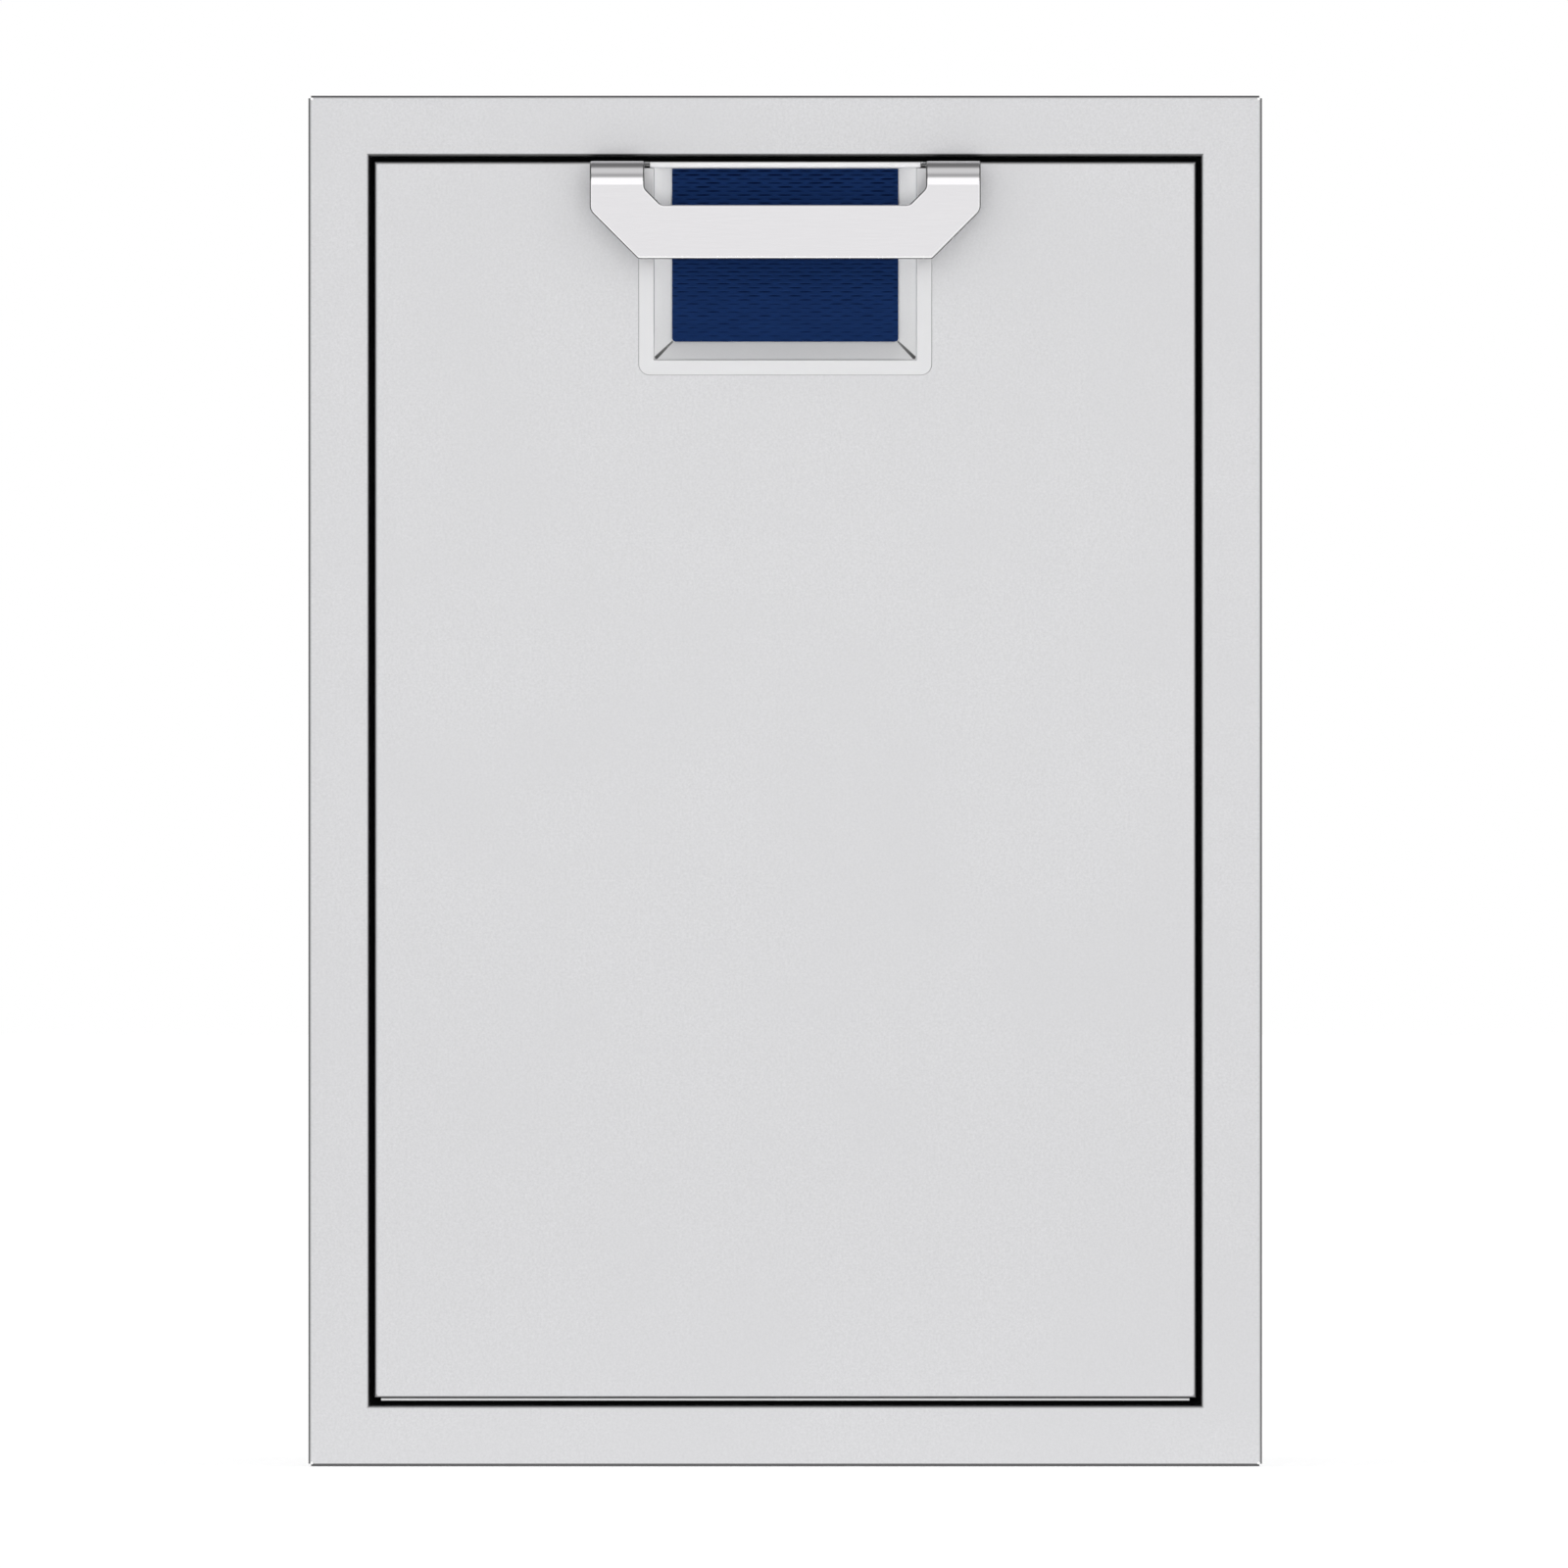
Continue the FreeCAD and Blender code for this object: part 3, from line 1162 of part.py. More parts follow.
RIGHT_PIECES = {
    "side_panel": side_panel,
    "slide_bracket": slide_bracket,
    "slide_outer": slide_outer,
    "slide_middle": slide_middle,
    "slide_inner": slide_inner,
    "outer_cage": outer_cage,
    "inner_cage": inner_cage,
    "outer_balls": lambda: balls(OUTER_BALL_DEPTH, OUTER_ROW),
    "inner_balls": lambda: balls(INNER_BALL_DEPTH, INNER_ROW),
    "release_lever": release_lever,
    "carrier_side": carrier_side,
    "front_brace": front_brace,
}

SINGLE_PIECES = {
    "face_frame": face_frame,
    "back_panel": back_panel,
    "back_panel_screws": back_panel_screws,
    "floor_pan": floor_pan,
    "gasket": gasket,
    "slide_outer_screws": slide_outer_screws,
    "slide_inner_screws": slide_inner_screws,
    "lever_rivets": lever_rivets,
    "front_skin": front_skin,
    "front_liner": front_liner,
    "handle_bezel": handle_bezel,
    "bezel_insert": bezel_insert,
    "pull_handle": pull_handle,
    "handle_screws": handle_screws,
    "carrier_front": carrier_front,
    "carrier_rear": carrier_rear,
    "carrier_plate": carrier_plate,
    "carrier_screws": carrier_screws,
    "front_screws": front_screws,
    "bin_front": lambda: trash_bin(BIN_CENTRES[0]),
    "bin_rear": lambda: trash_bin(BIN_CENTRES[1]),
}


def export_all():
    os.makedirs("parts", exist_ok=True)
    for name, make in SINGLE_PIECES.items():
        make().exportStep(f"parts/{name}.step")
    for name, make in RIGHT_PIECES.items():
        right = make()
        right.exportStep(f"parts/{name}_right.step")
        mirrored(right).exportStep(f"parts/{name}_left.step")


export_all()
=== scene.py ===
import bmesh
import bpy
import json
import math
import random
from mathutils import Matrix, Vector


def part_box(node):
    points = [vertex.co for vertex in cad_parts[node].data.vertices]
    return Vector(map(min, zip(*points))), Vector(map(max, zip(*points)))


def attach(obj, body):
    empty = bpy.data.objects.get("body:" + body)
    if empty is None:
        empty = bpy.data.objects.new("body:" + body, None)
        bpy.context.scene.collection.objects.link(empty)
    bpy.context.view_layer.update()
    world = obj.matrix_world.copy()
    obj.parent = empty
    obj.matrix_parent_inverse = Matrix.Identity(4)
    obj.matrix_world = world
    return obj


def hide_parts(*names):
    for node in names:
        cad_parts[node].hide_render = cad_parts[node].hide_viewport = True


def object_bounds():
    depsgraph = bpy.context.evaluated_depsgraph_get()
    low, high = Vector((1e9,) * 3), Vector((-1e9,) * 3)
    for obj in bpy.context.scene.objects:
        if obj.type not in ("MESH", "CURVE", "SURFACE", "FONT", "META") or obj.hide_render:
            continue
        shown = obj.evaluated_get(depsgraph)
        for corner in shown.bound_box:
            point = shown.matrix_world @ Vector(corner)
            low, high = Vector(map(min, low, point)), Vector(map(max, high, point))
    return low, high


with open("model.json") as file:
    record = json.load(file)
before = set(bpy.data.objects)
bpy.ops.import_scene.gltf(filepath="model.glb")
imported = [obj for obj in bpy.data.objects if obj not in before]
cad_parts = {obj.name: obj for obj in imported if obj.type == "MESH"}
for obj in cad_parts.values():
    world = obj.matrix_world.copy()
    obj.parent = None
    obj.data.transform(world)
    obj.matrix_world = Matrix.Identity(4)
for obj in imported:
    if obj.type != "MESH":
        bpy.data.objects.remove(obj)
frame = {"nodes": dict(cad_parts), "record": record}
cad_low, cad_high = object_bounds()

# Looks of the roll out trash drawer. Metres; +X right seen from the front, +Y into the island, +Z up.

MM = 0.001
solids = frame["nodes"]
bodies = frame["record"]["behaviour"]["bodies"]

# The photograph's frame, from the middle of the flange
PICTURE_WIDTH = 0.8353
PICTURE_SHIFT_X = -0.65 * MM
PICTURE_SHIFT_Z = -1.59 * MM
LENS = 1500.0
SENSOR = 36.0
VIEW_REACH = 100.0

# Studio round the drawer: (degrees away from straight in front, brightness), upward and sideways
UPWARD_BANDS = [
    (0, 0.96),
    (3.5, 0.96),
    (6, 1.24),
    (32, 1.24),
    (37, 0.70),
    (45, 0.44),
    (51, 0.46),
    (58, 0.64),
    (68, 0.74),
    (85, 0.71),
    (93, 0.40),
    (101, 0.22),
    (113, 0.18),
    (133, 0.23),
    (152, 0.36),
    (166, 0.66),
    (180, 0.85),
]
SIDEWAYS_BANDS = [
    (0, 0.96),
    (3.5, 0.96),
    (6, 1.20),
    (72, 1.15),
    (92, 0.75),
    (108, 0.42),
    (125, 0.42),
    (146, 0.75),
    (180, 0.85),
]
STUDIO_PEAK = 1.25
SIDEWAYS_BLEND = (0.25, 0.75)

# Even light on matt surfaces, where FILL_ABOVE takes over as its direction rises, and one lamp in front
FILL_AROUND = 0.88
FILL_SIDES = 1.70
FILL_ABOVE = 0.30
ABOVE_BLEND = (0.1, 0.9)
LAMP_PLACE = (0.0, -3.4, 0.30)
LAMP_TARGET = (0.0, 0.0, 0.35)
LAMP_SIZE = 0.6
LAMP_POWER = 43.0

# White floor: its paint, its glow to the eye and in metal, and the painted light its glow adds at the foot,
# with its reach
FLOOR_GAP = 0.4 * MM
FLOOR_REACH = 60.0
FLOOR_PAINT = 0.95
FLOOR_GLOW = 0.53
FLOOR_GLOW_IN_METAL = 0.60
FLOOR_PAINTED_LIGHT_AT_FOOT = 0.30
FOOT_GLOW_NEAR = 0.2
FOOT_GLOW_FAR = 0.9

# Finishes as they render in plain light
FACE_COLOUR = (0.572, 0.572, 0.583)
HANDLE_COLOUR = (0.806, 0.795, 0.812)
RIM_COLOUR = (0.612, 0.612, 0.621)
# The slopes lighten toward the top by painted light, against the handle's shade; the upward-facing sill keeps
# painted shade
LOW_SLOPE_COLOUR = (0.755, 0.755, 0.756)
TOP_SLOPE_PAINTED_LIGHT = (0.990, 0.990, 0.990)
SILL_PAINTED_SHADE = (0.755, 0.755, 0.760)
# The lip is the rim's metal made lighter: painted light where light falls on it from above
LIP_PAINTED_LIGHT = (0.722, 0.722, 0.730)
CABINET_COLOUR = (0.560, 0.562, 0.570)
CARRIER_COLOUR = (0.520, 0.524, 0.532)
ZINC_COLOUR = (0.500, 0.515, 0.535)
BALL_COLOUR = (0.720, 0.720, 0.725)
FASTENER_COLOUR = (0.560, 0.555, 0.545)
BLUE_COLOUR = (0.0082, 0.0252, 0.0935)
# Painted shade in the insert's grooves, stronger where they are pressed deeper
GROOVE_PAINTED_SHADE = (0.0012, 0.0060, 0.0380)
RUBBER_COLOUR = (0.0030, 0.0030, 0.0032)
BIN_COLOUR = (0.038, 0.040, 0.043)
LEVER_COLOUR = (0.018, 0.018, 0.020)

# Shades of a finish, as shares of its own colour; painted shade on bends and a painted highlight on metal
# edges
STREAK_SHADE = 0.90
PAINTED_BEND_SHADE = 0.10
WELD_SHADE = 0.55
EDGE_HIGHLIGHT_ON_METAL = 1.12
RUBBED_PLASTIC = 2.20
CLOUDED_PLASTIC = 1.45

# Run of a metal's grain, which is drawn out twentyfold along one axis
UPRIGHT = (1.0, 1.0, 0.05)
ACROSS = (0.05, 1.0, 1.0)
INWARD = (1.0, 0.05, 1.0)
EVEN = (1.0, 1.0, 1.0)

# Embossed insert of the recess
GROOVE_ROWS = 43
GROOVE_COLUMNS = 11
LOW_GROOVE_HALF_LENGTH = 3.4 * MM
TOP_GROOVE_HALF_LENGTH = 4.1 * MM
LOW_GROOVE_HALF_HEIGHT = 0.32 * MM
TOP_GROOVE_HALF_HEIGHT = 0.48 * MM
LOW_GROOVE_PRESS = 0.62
TOP_GROOVE_PRESS = 1.25
WEAKEST_GROOVE = 0.50
GROOVE_SEED = 4
GROOVE_TAPER = 0.3
GROOVE_DEPTH = 0.40 * MM
ROW_STEPS = 10
COLUMN_STEPS = 12
INSERT_CORNER = 2.0 * MM

# Recess pan: its rim stands in front of this depth, the blasted slopes lie behind it
RIM_DEPTH = -12.95 * MM
RIM_BLEND = 0.10 * MM
LIP_HEIGHT = 3.6 * MM
# Width of the rim's outer edge, which takes painted shade
RIM_EDGE = 2.0 * MM

# Painted shade on rounded plate edges, growing as they turn off the front, between two sines of the turn: from
# Start to Full, or to Downward where they turn downward. Where they turn upward, the share Upward of it is
# left.
# The turn counts as up or down once its vertical share passes from the first to the second of VERTICAL_TURN.
FRAME_EDGES = {"Start": 0.0, "Full": 0.90, "Downward": 0.30, "Upward": 0.70}
FRONT_EDGES = {"Start": 0.0, "Full": 0.90, "Downward": 1.25, "Upward": 0.70}
HANDLE_EDGES = {"Start": 0.25, "Full": 0.60, "Downward": 0.60, "Upward": 0.0}
BEZEL_EDGES = {"Start": 0.25, "Full": 0.90, "Downward": 0.90, "Upward": 0.0}
VERTICAL_TURN = (0.75, 0.95)

# Spot welds that hold the side panels to the face frame
WELD_LINE = 10.5 * MM
WELD_PITCH = 60.0 * MM
WELD_RADIUS = 2.6 * MM
WELD_DEPTH_IN_GRAINS = 30.0

# Screws and balls
RING_STEPS = 24
THREAD_PITCH = 0.8 * MM
THREAD_ROOT = 0.84
BLUNT_TIP = 0.5
HEAD_HEIGHT = 2.6 * MM
WASHER_RADIUS = 3.8 * MM
WASHER_HEIGHT = 0.5 * MM
HEX_RADIUS = 3.3 * MM
SOCKET_RADIUS = 1.35 * MM
SOCKET_DEPTH = 0.8 * MM
SOCKET_CHAMFER = 0.1 * MM
SOCKET_FLARE = 1.12
FLUSH_HEAD_SHARE = 0.97
FLUSH_HEAD_EDGE = 0.15 * MM
COUNTERSINK_HEIGHT = 1.2 * MM
CLUMP_REACH = 14.0 * MM
END_REACH = 0.05 * MM
BALLS_IN_ROW = 10
BALL_SUBDIVISIONS = 2

# Groups of hexagon screws, with the axis that they run along: 0 is X, 1 is Y and 2 is Z
HEXAGON_SCREWS = {
    "back_panel_screws": 1,
    "front_screws": 1,
    "handle_screws": 1,
    "slide_inner_screws": 0,
    "carrier_screws": 2,
}


def add(tree, kind, inputs=None, **settings):
    """One node, with its settings and its inputs given as values or as sockets to link."""
    node = tree.nodes.new(kind)
    for name, value in settings.items():
        setattr(node, name, value)
    for name, value in (inputs or {}).items():
        if isinstance(value, bpy.types.NodeSocket):
            tree.links.new(value, node.inputs[name])
        else:
            node.inputs[name].default_value = value
    return node


def maths(tree, operation, first, second=0.0, clamp=False):
    node = add(tree, "ShaderNodeMath", {0: first, 1: second}, operation=operation, use_clamp=clamp)
    return node.outputs[0]


def ranged(tree, value, from_low, from_high, to_low, to_high):
    """Value carried smoothly from one range to another."""
    node = add(
        tree,
        "ShaderNodeMapRange",
        {"Value": value, "From Min": from_low, "From Max": from_high, "To Min": to_low, "To Max": to_high},
        interpolation_type="SMOOTHSTEP",
    )
    return node.outputs["Result"]


def blended(tree, share, first, second):
    """Colour between two colours."""
    node = add(tree, "ShaderNodeMix", data_type="RGBA")
    for socket, value in ((0, share), (6, first), (7, second)):
        if isinstance(value, bpy.types.NodeSocket):
            tree.links.new(value, node.inputs[socket])
        else:
            node.inputs[socket].default_value = value if socket == 0 else (*value, 1.0)
    return node.outputs[2]


def shaded(colour, factor):
    return tuple(min(1.0, part * factor) for part in colour)


def object_place(tree):
    return add(tree, "ShaderNodeTexCoord").outputs["Object"]


def group_with(name, inputs, outputs):
    """Empty node group with named sockets: (name, socket type, start value) and (name, socket type)."""
    tree = bpy.data.node_groups.new(name, "ShaderNodeTree")
    for label, kind, start in inputs:
        socket = tree.interface.new_socket(label, in_out="INPUT", socket_type=kind)
        socket.default_value = start
    for label, kind in outputs:
        tree.interface.new_socket(label, in_out="OUTPUT", socket_type=kind)
    return tree, tree.nodes.new("NodeGroupInput"), tree.nodes.new("NodeGroupOutput")


def grain_group():
    """Fine rolled or brushed grain; a small value in Stretch draws it out along that axis."""
    tree, given, out = group_with(
        "metal_grain",
        [("Fineness", "NodeSocketFloat", 900.0), ("Stretch", "NodeSocketVector", (1.0, 1.0, 1.0))],
        [("Grain", "NodeSocketFloat"), ("Streak", "NodeSocketFloat")],
    )
    stretch = {0: object_place(tree), 1: given.outputs["Stretch"]}
    pulled = add(tree, "ShaderNodeVectorMath", stretch, operation="MULTIPLY").outputs[0]
    fine = add(
        tree,
        "ShaderNodeTexNoise",
        {"Vector": pulled, "Scale": given.outputs["Fineness"], "Detail": 2.0, "Roughness": 0.65},
    )
    broad_scale = maths(tree, "MULTIPLY", given.outputs["Fineness"], 0.16)
    broad = add(
        tree,
        "ShaderNodeTexNoise",
        {"Vector": pulled, "Scale": broad_scale, "Detail": 3.0, "Roughness": 0.6},
    )
    tree.links.new(fine.outputs["Fac"], out.inputs["Grain"])
    tree.links.new(broad.outputs["Fac"], out.inputs["Streak"])
    return tree


def handling_group():
    """Faint cloudy wipe marks left by cleaning and hands."""
    tree, given, out = group_with(
        "wipe_marks",
        [("Size", "NodeSocketFloat", 9.0)],
        [("Mark", "NodeSocketFloat")],
    )
    place = object_place(tree)
    warp = add(tree, "ShaderNodeTexNoise", {"Vector": place, "Scale": 3.0, "Detail": 1.0})
    bent = add(tree, "ShaderNodeMix", {"Factor": 0.12}, data_type="VECTOR")
    tree.links.new(place, bent.inputs[4])
    tree.links.new(warp.outputs["Color"], bent.inputs[5])
    cloud = add(
        tree,
        "ShaderNodeTexNoise",
        {"Vector": bent.outputs[1], "Scale": given.outputs["Size"], "Detail": 4.0, "Roughness": 0.55},
    )
    tree.links.new(ranged(tree, cloud.outputs["Fac"], 0.35, 0.7, 0.0, 1.0), out.inputs["Mark"])
    return tree


def edge_group():
    """Rounded edges: a softened normal, and a mask that is 1 on sharp edges, for worn edges on plastic and a
    painted highlight on metal.
    """
    tree, given, out = group_with(
        "rubbed_edges",
        [("Radius", "NodeSocketFloat", 0.0003)],
        [("Normal", "NodeSocketVector"), ("Edge", "NodeSocketFloat")],
    )
    soft = add(tree, "ShaderNodeBevel", {"Radius": given.outputs["Radius"]}, samples=6)
    flat = add(tree, "ShaderNodeNewGeometry").outputs["Normal"]
    turn = add(tree, "ShaderNodeVectorMath", {0: soft.outputs["Normal"], 1: flat}, operation="DOT_PRODUCT")
    tree.links.new(soft.outputs["Normal"], out.inputs["Normal"])
    tree.links.new(ranged(tree, turn.outputs["Value"], 0.995, 0.80, 0.0, 1.0), out.inputs["Edge"])
    return tree


def fold_group():
    """Mask of painted shade on the sheet's folds: 0 on its flat faces, 1 halfway round a bend."""
    tree, _, out = group_with("sheet_folds", [], [("Fold", "NodeSocketFloat")])
    normal = add(tree, "ShaderNodeNewGeometry").outputs["Normal"]
    sides = add(tree, "ShaderNodeSeparateXYZ", {"Vector": normal}).outputs
    squares = [maths(tree, "MULTIPLY", side, side) for side in sides]
    largest = maths(tree, "MAXIMUM", maths(tree, "MAXIMUM", squares[0], squares[1]), squares[2])
    bend = maths(tree, "SUBTRACT", 1.0, largest)
    tree.links.new(maths(tree, "SQRT", maths(tree, "MULTIPLY", bend, 2.0, clamp=True)), out.inputs["Fold"])
    return tree


def plate_edge_group():
    """Mask of painted shade on the rounded edges of front plates: 0 on their flat faces, up to 1 as they turn
    away.
    """
    tree, given, out = group_with(
        "plate_edges",
        [(name, "NodeSocketFloat", value) for name, value in FRONT_EDGES.items()],
        [("Edge", "NodeSocketFloat")],
    )
    normal = add(tree, "ShaderNodeNewGeometry").outputs["Normal"]
    _, front, up = add(tree, "ShaderNodeSeparateXYZ", {"Vector": normal}).outputs
    squared = maths(tree, "MULTIPLY", front, front)
    turn = maths(tree, "SQRT", maths(tree, "SUBTRACT", 1.0, squared, clamp=True))
    up_share = maths(tree, "DIVIDE", up, maths(tree, "MAXIMUM", turn, 0.001))
    some, most = VERTICAL_TURN
    full = ranged(tree, up_share, -most, -some, given.outputs["Downward"], given.outputs["Full"])
    edge = ranged(tree, turn, given.outputs["Start"], full, 0.0, 1.0)
    off_side = ranged(tree, squared, 0.0, 0.02, 0.0, 1.0)
    weight = ranged(tree, up_share, some, most, 1.0, given.outputs["Upward"])
    mask = maths(tree, "MULTIPLY", maths(tree, "MULTIPLY", edge, off_side), weight)
    tree.links.new(mask, out.inputs["Edge"])
    return tree


def weld_group():
    """Row of spot welds up the front of each side panel: a shallow pit with a darker ring."""
    tree, _, out = group_with(
        "spot_welds",
        [],
        [("Ring", "NodeSocketFloat"), ("Pit", "NodeSocketFloat")],
    )
    place = add(tree, "ShaderNodeSeparateXYZ", {"Vector": object_place(tree)}).outputs
    back = maths(tree, "SUBTRACT", place[1], WELD_LINE)
    turn = maths(tree, "FRACT", maths(tree, "DIVIDE", place[2], WELD_PITCH))
    rise = maths(tree, "MULTIPLY", maths(tree, "SUBTRACT", turn, 0.5), WELD_PITCH)
    squares = maths(tree, "ADD", maths(tree, "MULTIPLY", back, back), maths(tree, "MULTIPLY", rise, rise))
    reach = maths(tree, "SQRT", squares)
    normal = add(tree, "ShaderNodeNewGeometry").outputs["Normal"]
    facing = add(tree, "ShaderNodeSeparateXYZ", {"Vector": normal}).outputs[0]
    on_side = maths(tree, "GREATER_THAN", maths(tree, "ABSOLUTE", facing), 0.9)
    pit = ranged(tree, reach, WELD_RADIUS * 0.6, WELD_RADIUS, 1.0, 0.0)
    halo = ranged(tree, reach, WELD_RADIUS, WELD_RADIUS * 1.9, 1.0, 0.0)
    tree.links.new(maths(tree, "MULTIPLY", halo, on_side), out.inputs["Ring"])
    tree.links.new(maths(tree, "MULTIPLY", pit, on_side), out.inputs["Pit"])
    return tree


def dust_group():
    """Thin settled dust on faces that look up."""
    tree, given, out = group_with(
        "settled_dust",
        [("Amount", "NodeSocketFloat", 0.3)],
        [("Dust", "NodeSocketFloat")],
    )
    normal = add(tree, "ShaderNodeNewGeometry").outputs["Normal"]
    upward = add(tree, "ShaderNodeSeparateXYZ", {"Vector": normal}).outputs["Z"]
    specks = add(
        tree,
        "ShaderNodeTexNoise",
        {"Vector": object_place(tree), "Scale": 140.0, "Detail": 5.0, "Roughness": 0.7},
    )
    settled = ranged(tree, upward, 0.55, 0.95, 0.0, 1.0)
    patchy = ranged(tree, specks.outputs["Fac"], 0.35, 0.75, 0.2, 1.0)
    mask = maths(tree, "MULTIPLY", settled, patchy)
    tree.links.new(maths(tree, "MULTIPLY", mask, given.outputs["Amount"]), out.inputs["Dust"])
    return tree


GRAIN = grain_group()
WIPES = handling_group()
EDGES = edge_group()
FOLD_SHADE_MASK = fold_group()
PLATE_EDGES = plate_edge_group()
WELDS = weld_group()
DUST = dust_group()


def use(tree, group, inputs=None):
    node = tree.nodes.new("ShaderNodeGroup")
    node.node_tree = group
    for name, value in (inputs or {}).items():
        node.inputs[name].default_value = value
    return node


def new_finish(name, metallic=0.0):
    material = bpy.data.materials.new(name)
    material.use_nodes = True
    shader = material.node_tree.nodes["Principled BSDF"]
    shader.inputs["Metallic"].default_value = metallic
    return material, material.node_tree, shader


def metal(name, colour, polish, fineness, run, spread=0.05, tone=0.03, streak=0.12, wipe=0.05,
          fold=0.0, plate_edge=0.0, turning=FRONT_EDGES, edge=0.3 * MM, bump=4e-6, metallic=1.0, welds=False):
    """Sheet metal finish.

    polish is the middle roughness and spread how far grain and wipes move it; run is the grain's run; tone,
    streak and wipe darken the colour by grain, long streaks and wipe marks; the fold share paints shade on the
    bends, the plate edge share paints shade on the rounded edges of front plates as they turn off, and sharp
    edges take a painted highlight; bump is the grain's depth.
    """
    material, tree, shader = new_finish(name, metallic)
    grain = use(tree, GRAIN, {"Fineness": fineness, "Stretch": run})
    wipes = use(tree, WIPES)
    edges = use(tree, EDGES, {"Radius": edge})
    dark = shaded(colour, 1.0 - 2.0 * tone)
    light = shaded(colour, 1.0 + 2.0 * tone)
    tint = blended(tree, grain.outputs["Grain"], dark, light)
    if streak:
        streaks = ranged(tree, grain.outputs["Streak"], 0.3, 0.7, 0.0, streak)
        tint = blended(tree, streaks, tint, shaded(colour, STREAK_SHADE))
    if wipe:
        smudge = ranged(tree, wipes.outputs["Mark"], 0.0, 1.0, 0.0, 0.5)
        tint = blended(tree, smudge, tint, shaded(colour, 1.0 - wipe))
    # Painted highlight on the sharp edges of the metal
    rubbed = maths(tree, "MULTIPLY", edges.outputs["Edge"], 0.6)
    tint = blended(tree, rubbed, tint, shaded(colour, EDGE_HIGHLIGHT_ON_METAL))
    # Painted shade on the sheet's bends, darker as they turn away
    if fold:
        fold_shade_share = maths(tree, "MULTIPLY", use(tree, FOLD_SHADE_MASK).outputs["Fold"], fold)
        tint = blended(tree, fold_shade_share, tint, shaded(colour, PAINTED_BEND_SHADE))
    # Painted shade on the rounded edges of front plates as they turn off
    if plate_edge:
        edge_shade_share = maths(tree, "MULTIPLY", use(tree, PLATE_EDGES, turning).outputs["Edge"], plate_edge)
        tint = blended(tree, edge_shade_share, tint, shaded(colour, PAINTED_BEND_SHADE))
    height = grain.outputs["Grain"]
    if welds:
        spots = use(tree, WELDS)
        ringed = maths(tree, "MULTIPLY", spots.outputs["Ring"], 0.45)
        tint = blended(tree, ringed, tint, shaded(colour, WELD_SHADE))
        sunk = maths(tree, "MULTIPLY", spots.outputs["Pit"], WELD_DEPTH_IN_GRAINS)
        height = maths(tree, "SUBTRACT", height, sunk)
    tree.links.new(tint, shader.inputs["Base Color"])
    rough = ranged(tree, grain.outputs["Grain"], 0.25, 0.75, polish - spread, polish + spread)
    smeared = maths(tree, "MULTIPLY", wipes.outputs["Mark"], spread)
    tree.links.new(maths(tree, "ADD", rough, smeared), shader.inputs["Roughness"])
    relief = add(
        tree,
        "ShaderNodeBump",
        {"Strength": 1.0, "Distance": bump, "Height": height, "Normal": edges.outputs["Normal"]},
    )
    tree.links.new(relief.outputs["Normal"], shader.inputs["Normal"])
    return material


def satin_face(name, turning):
    """Fine satin sheet of the face frame and the drawer front, with painted shade on its rounded edges."""
    return metal(
        name, FACE_COLOUR, polish=0.42, fineness=800.0, run=EVEN, spread=0.02, tone=0.08, streak=0.0,
        wipe=0.004, plate_edge=0.92, turning=turning, bump=2e-6,
    )


def recess_pan():
    """Pressed pan of the recess: satin metal rim and lip, matt blasted slopes and a sill; painted light
    lightens the lip and the upper slopes, painted shade darkens the sill and the rim's outer edges.
    """
    material = metal(
        "bezel_stainless", RIM_COLOUR, polish=0.34, fineness=1400.0, run=EVEN, spread=0.03, tone=0.01,
        streak=0.0, wipe=0.0, edge=0.1 * MM, bump=1e-6,
    )
    tree = material.node_tree
    shader = tree.nodes["Principled BSDF"]
    place = add(tree, "ShaderNodeSeparateXYZ", {"Vector": object_place(tree)}).outputs
    in_front = ranged(tree, place["Y"], RIM_DEPTH - RIM_BLEND, RIM_DEPTH + RIM_BLEND, 1.0, 0.0)
    low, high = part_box("handle_bezel")
    on_lip = maths(tree, "GREATER_THAN", place["Z"], high.z - LIP_HEIGHT)
    satin = maths(tree, "MAXIMUM", in_front, on_lip)
    tree.links.new(satin, shader.inputs["Metallic"])
    # Painted shade on the rim's outer rounded edges
    on_side = maths(tree, "GREATER_THAN", maths(tree, "ABSOLUTE", place["X"]), high.x - RIM_EDGE)
    on_bottom = maths(tree, "LESS_THAN", place["Z"], low.z + RIM_EDGE)
    outside = maths(tree, "MAXIMUM", on_side, on_bottom)
    edge_shade_share = maths(tree, "MULTIPLY", use(tree, PLATE_EDGES, BEZEL_EDGES).outputs["Edge"], outside)
    rim_tint = shader.inputs["Base Color"].links[0].from_socket
    rim_edge_shade = maths(tree, "MULTIPLY", edge_shade_share, 0.7)
    rim_tint = blended(tree, rim_edge_shade, rim_tint, shaded(RIM_COLOUR, PAINTED_BEND_SHADE))
    # Painted light on the lip
    rim_tint = blended(tree, on_lip, rim_tint, LIP_PAINTED_LIGHT)
    grain = use(tree, GRAIN, {"Fineness": 900.0, "Stretch": EVEN})
    # Painted light: the slopes lighten toward the top, where the handle shades them
    level = ranged(tree, place["Z"], low.z, (low.z + high.z) / 2, 0.0, 0.9)
    speck = ranged(tree, grain.outputs["Grain"], 0.3, 0.7, 0.0, 0.1)
    slope = blended(tree, maths(tree, "ADD", level, speck), LOW_SLOPE_COLOUR, TOP_SLOPE_PAINTED_LIGHT)
    # Painted shade: the upward-facing sill stays darker
    sill = blended(tree, grain.outputs["Grain"], shaded(SILL_PAINTED_SHADE, 0.97), shaded(SILL_PAINTED_SHADE, 1.03))
    normal = add(tree, "ShaderNodeNewGeometry").outputs["Normal"]
    upward = add(tree, "ShaderNodeSeparateXYZ", {"Vector": normal}).outputs["Z"]
    blasted = blended(tree, ranged(tree, upward, 0.4, 0.6, 0.0, 1.0), slope, sill)
    tree.links.new(blended(tree, satin, blasted, rim_tint), shader.inputs["Base Color"])
    return material


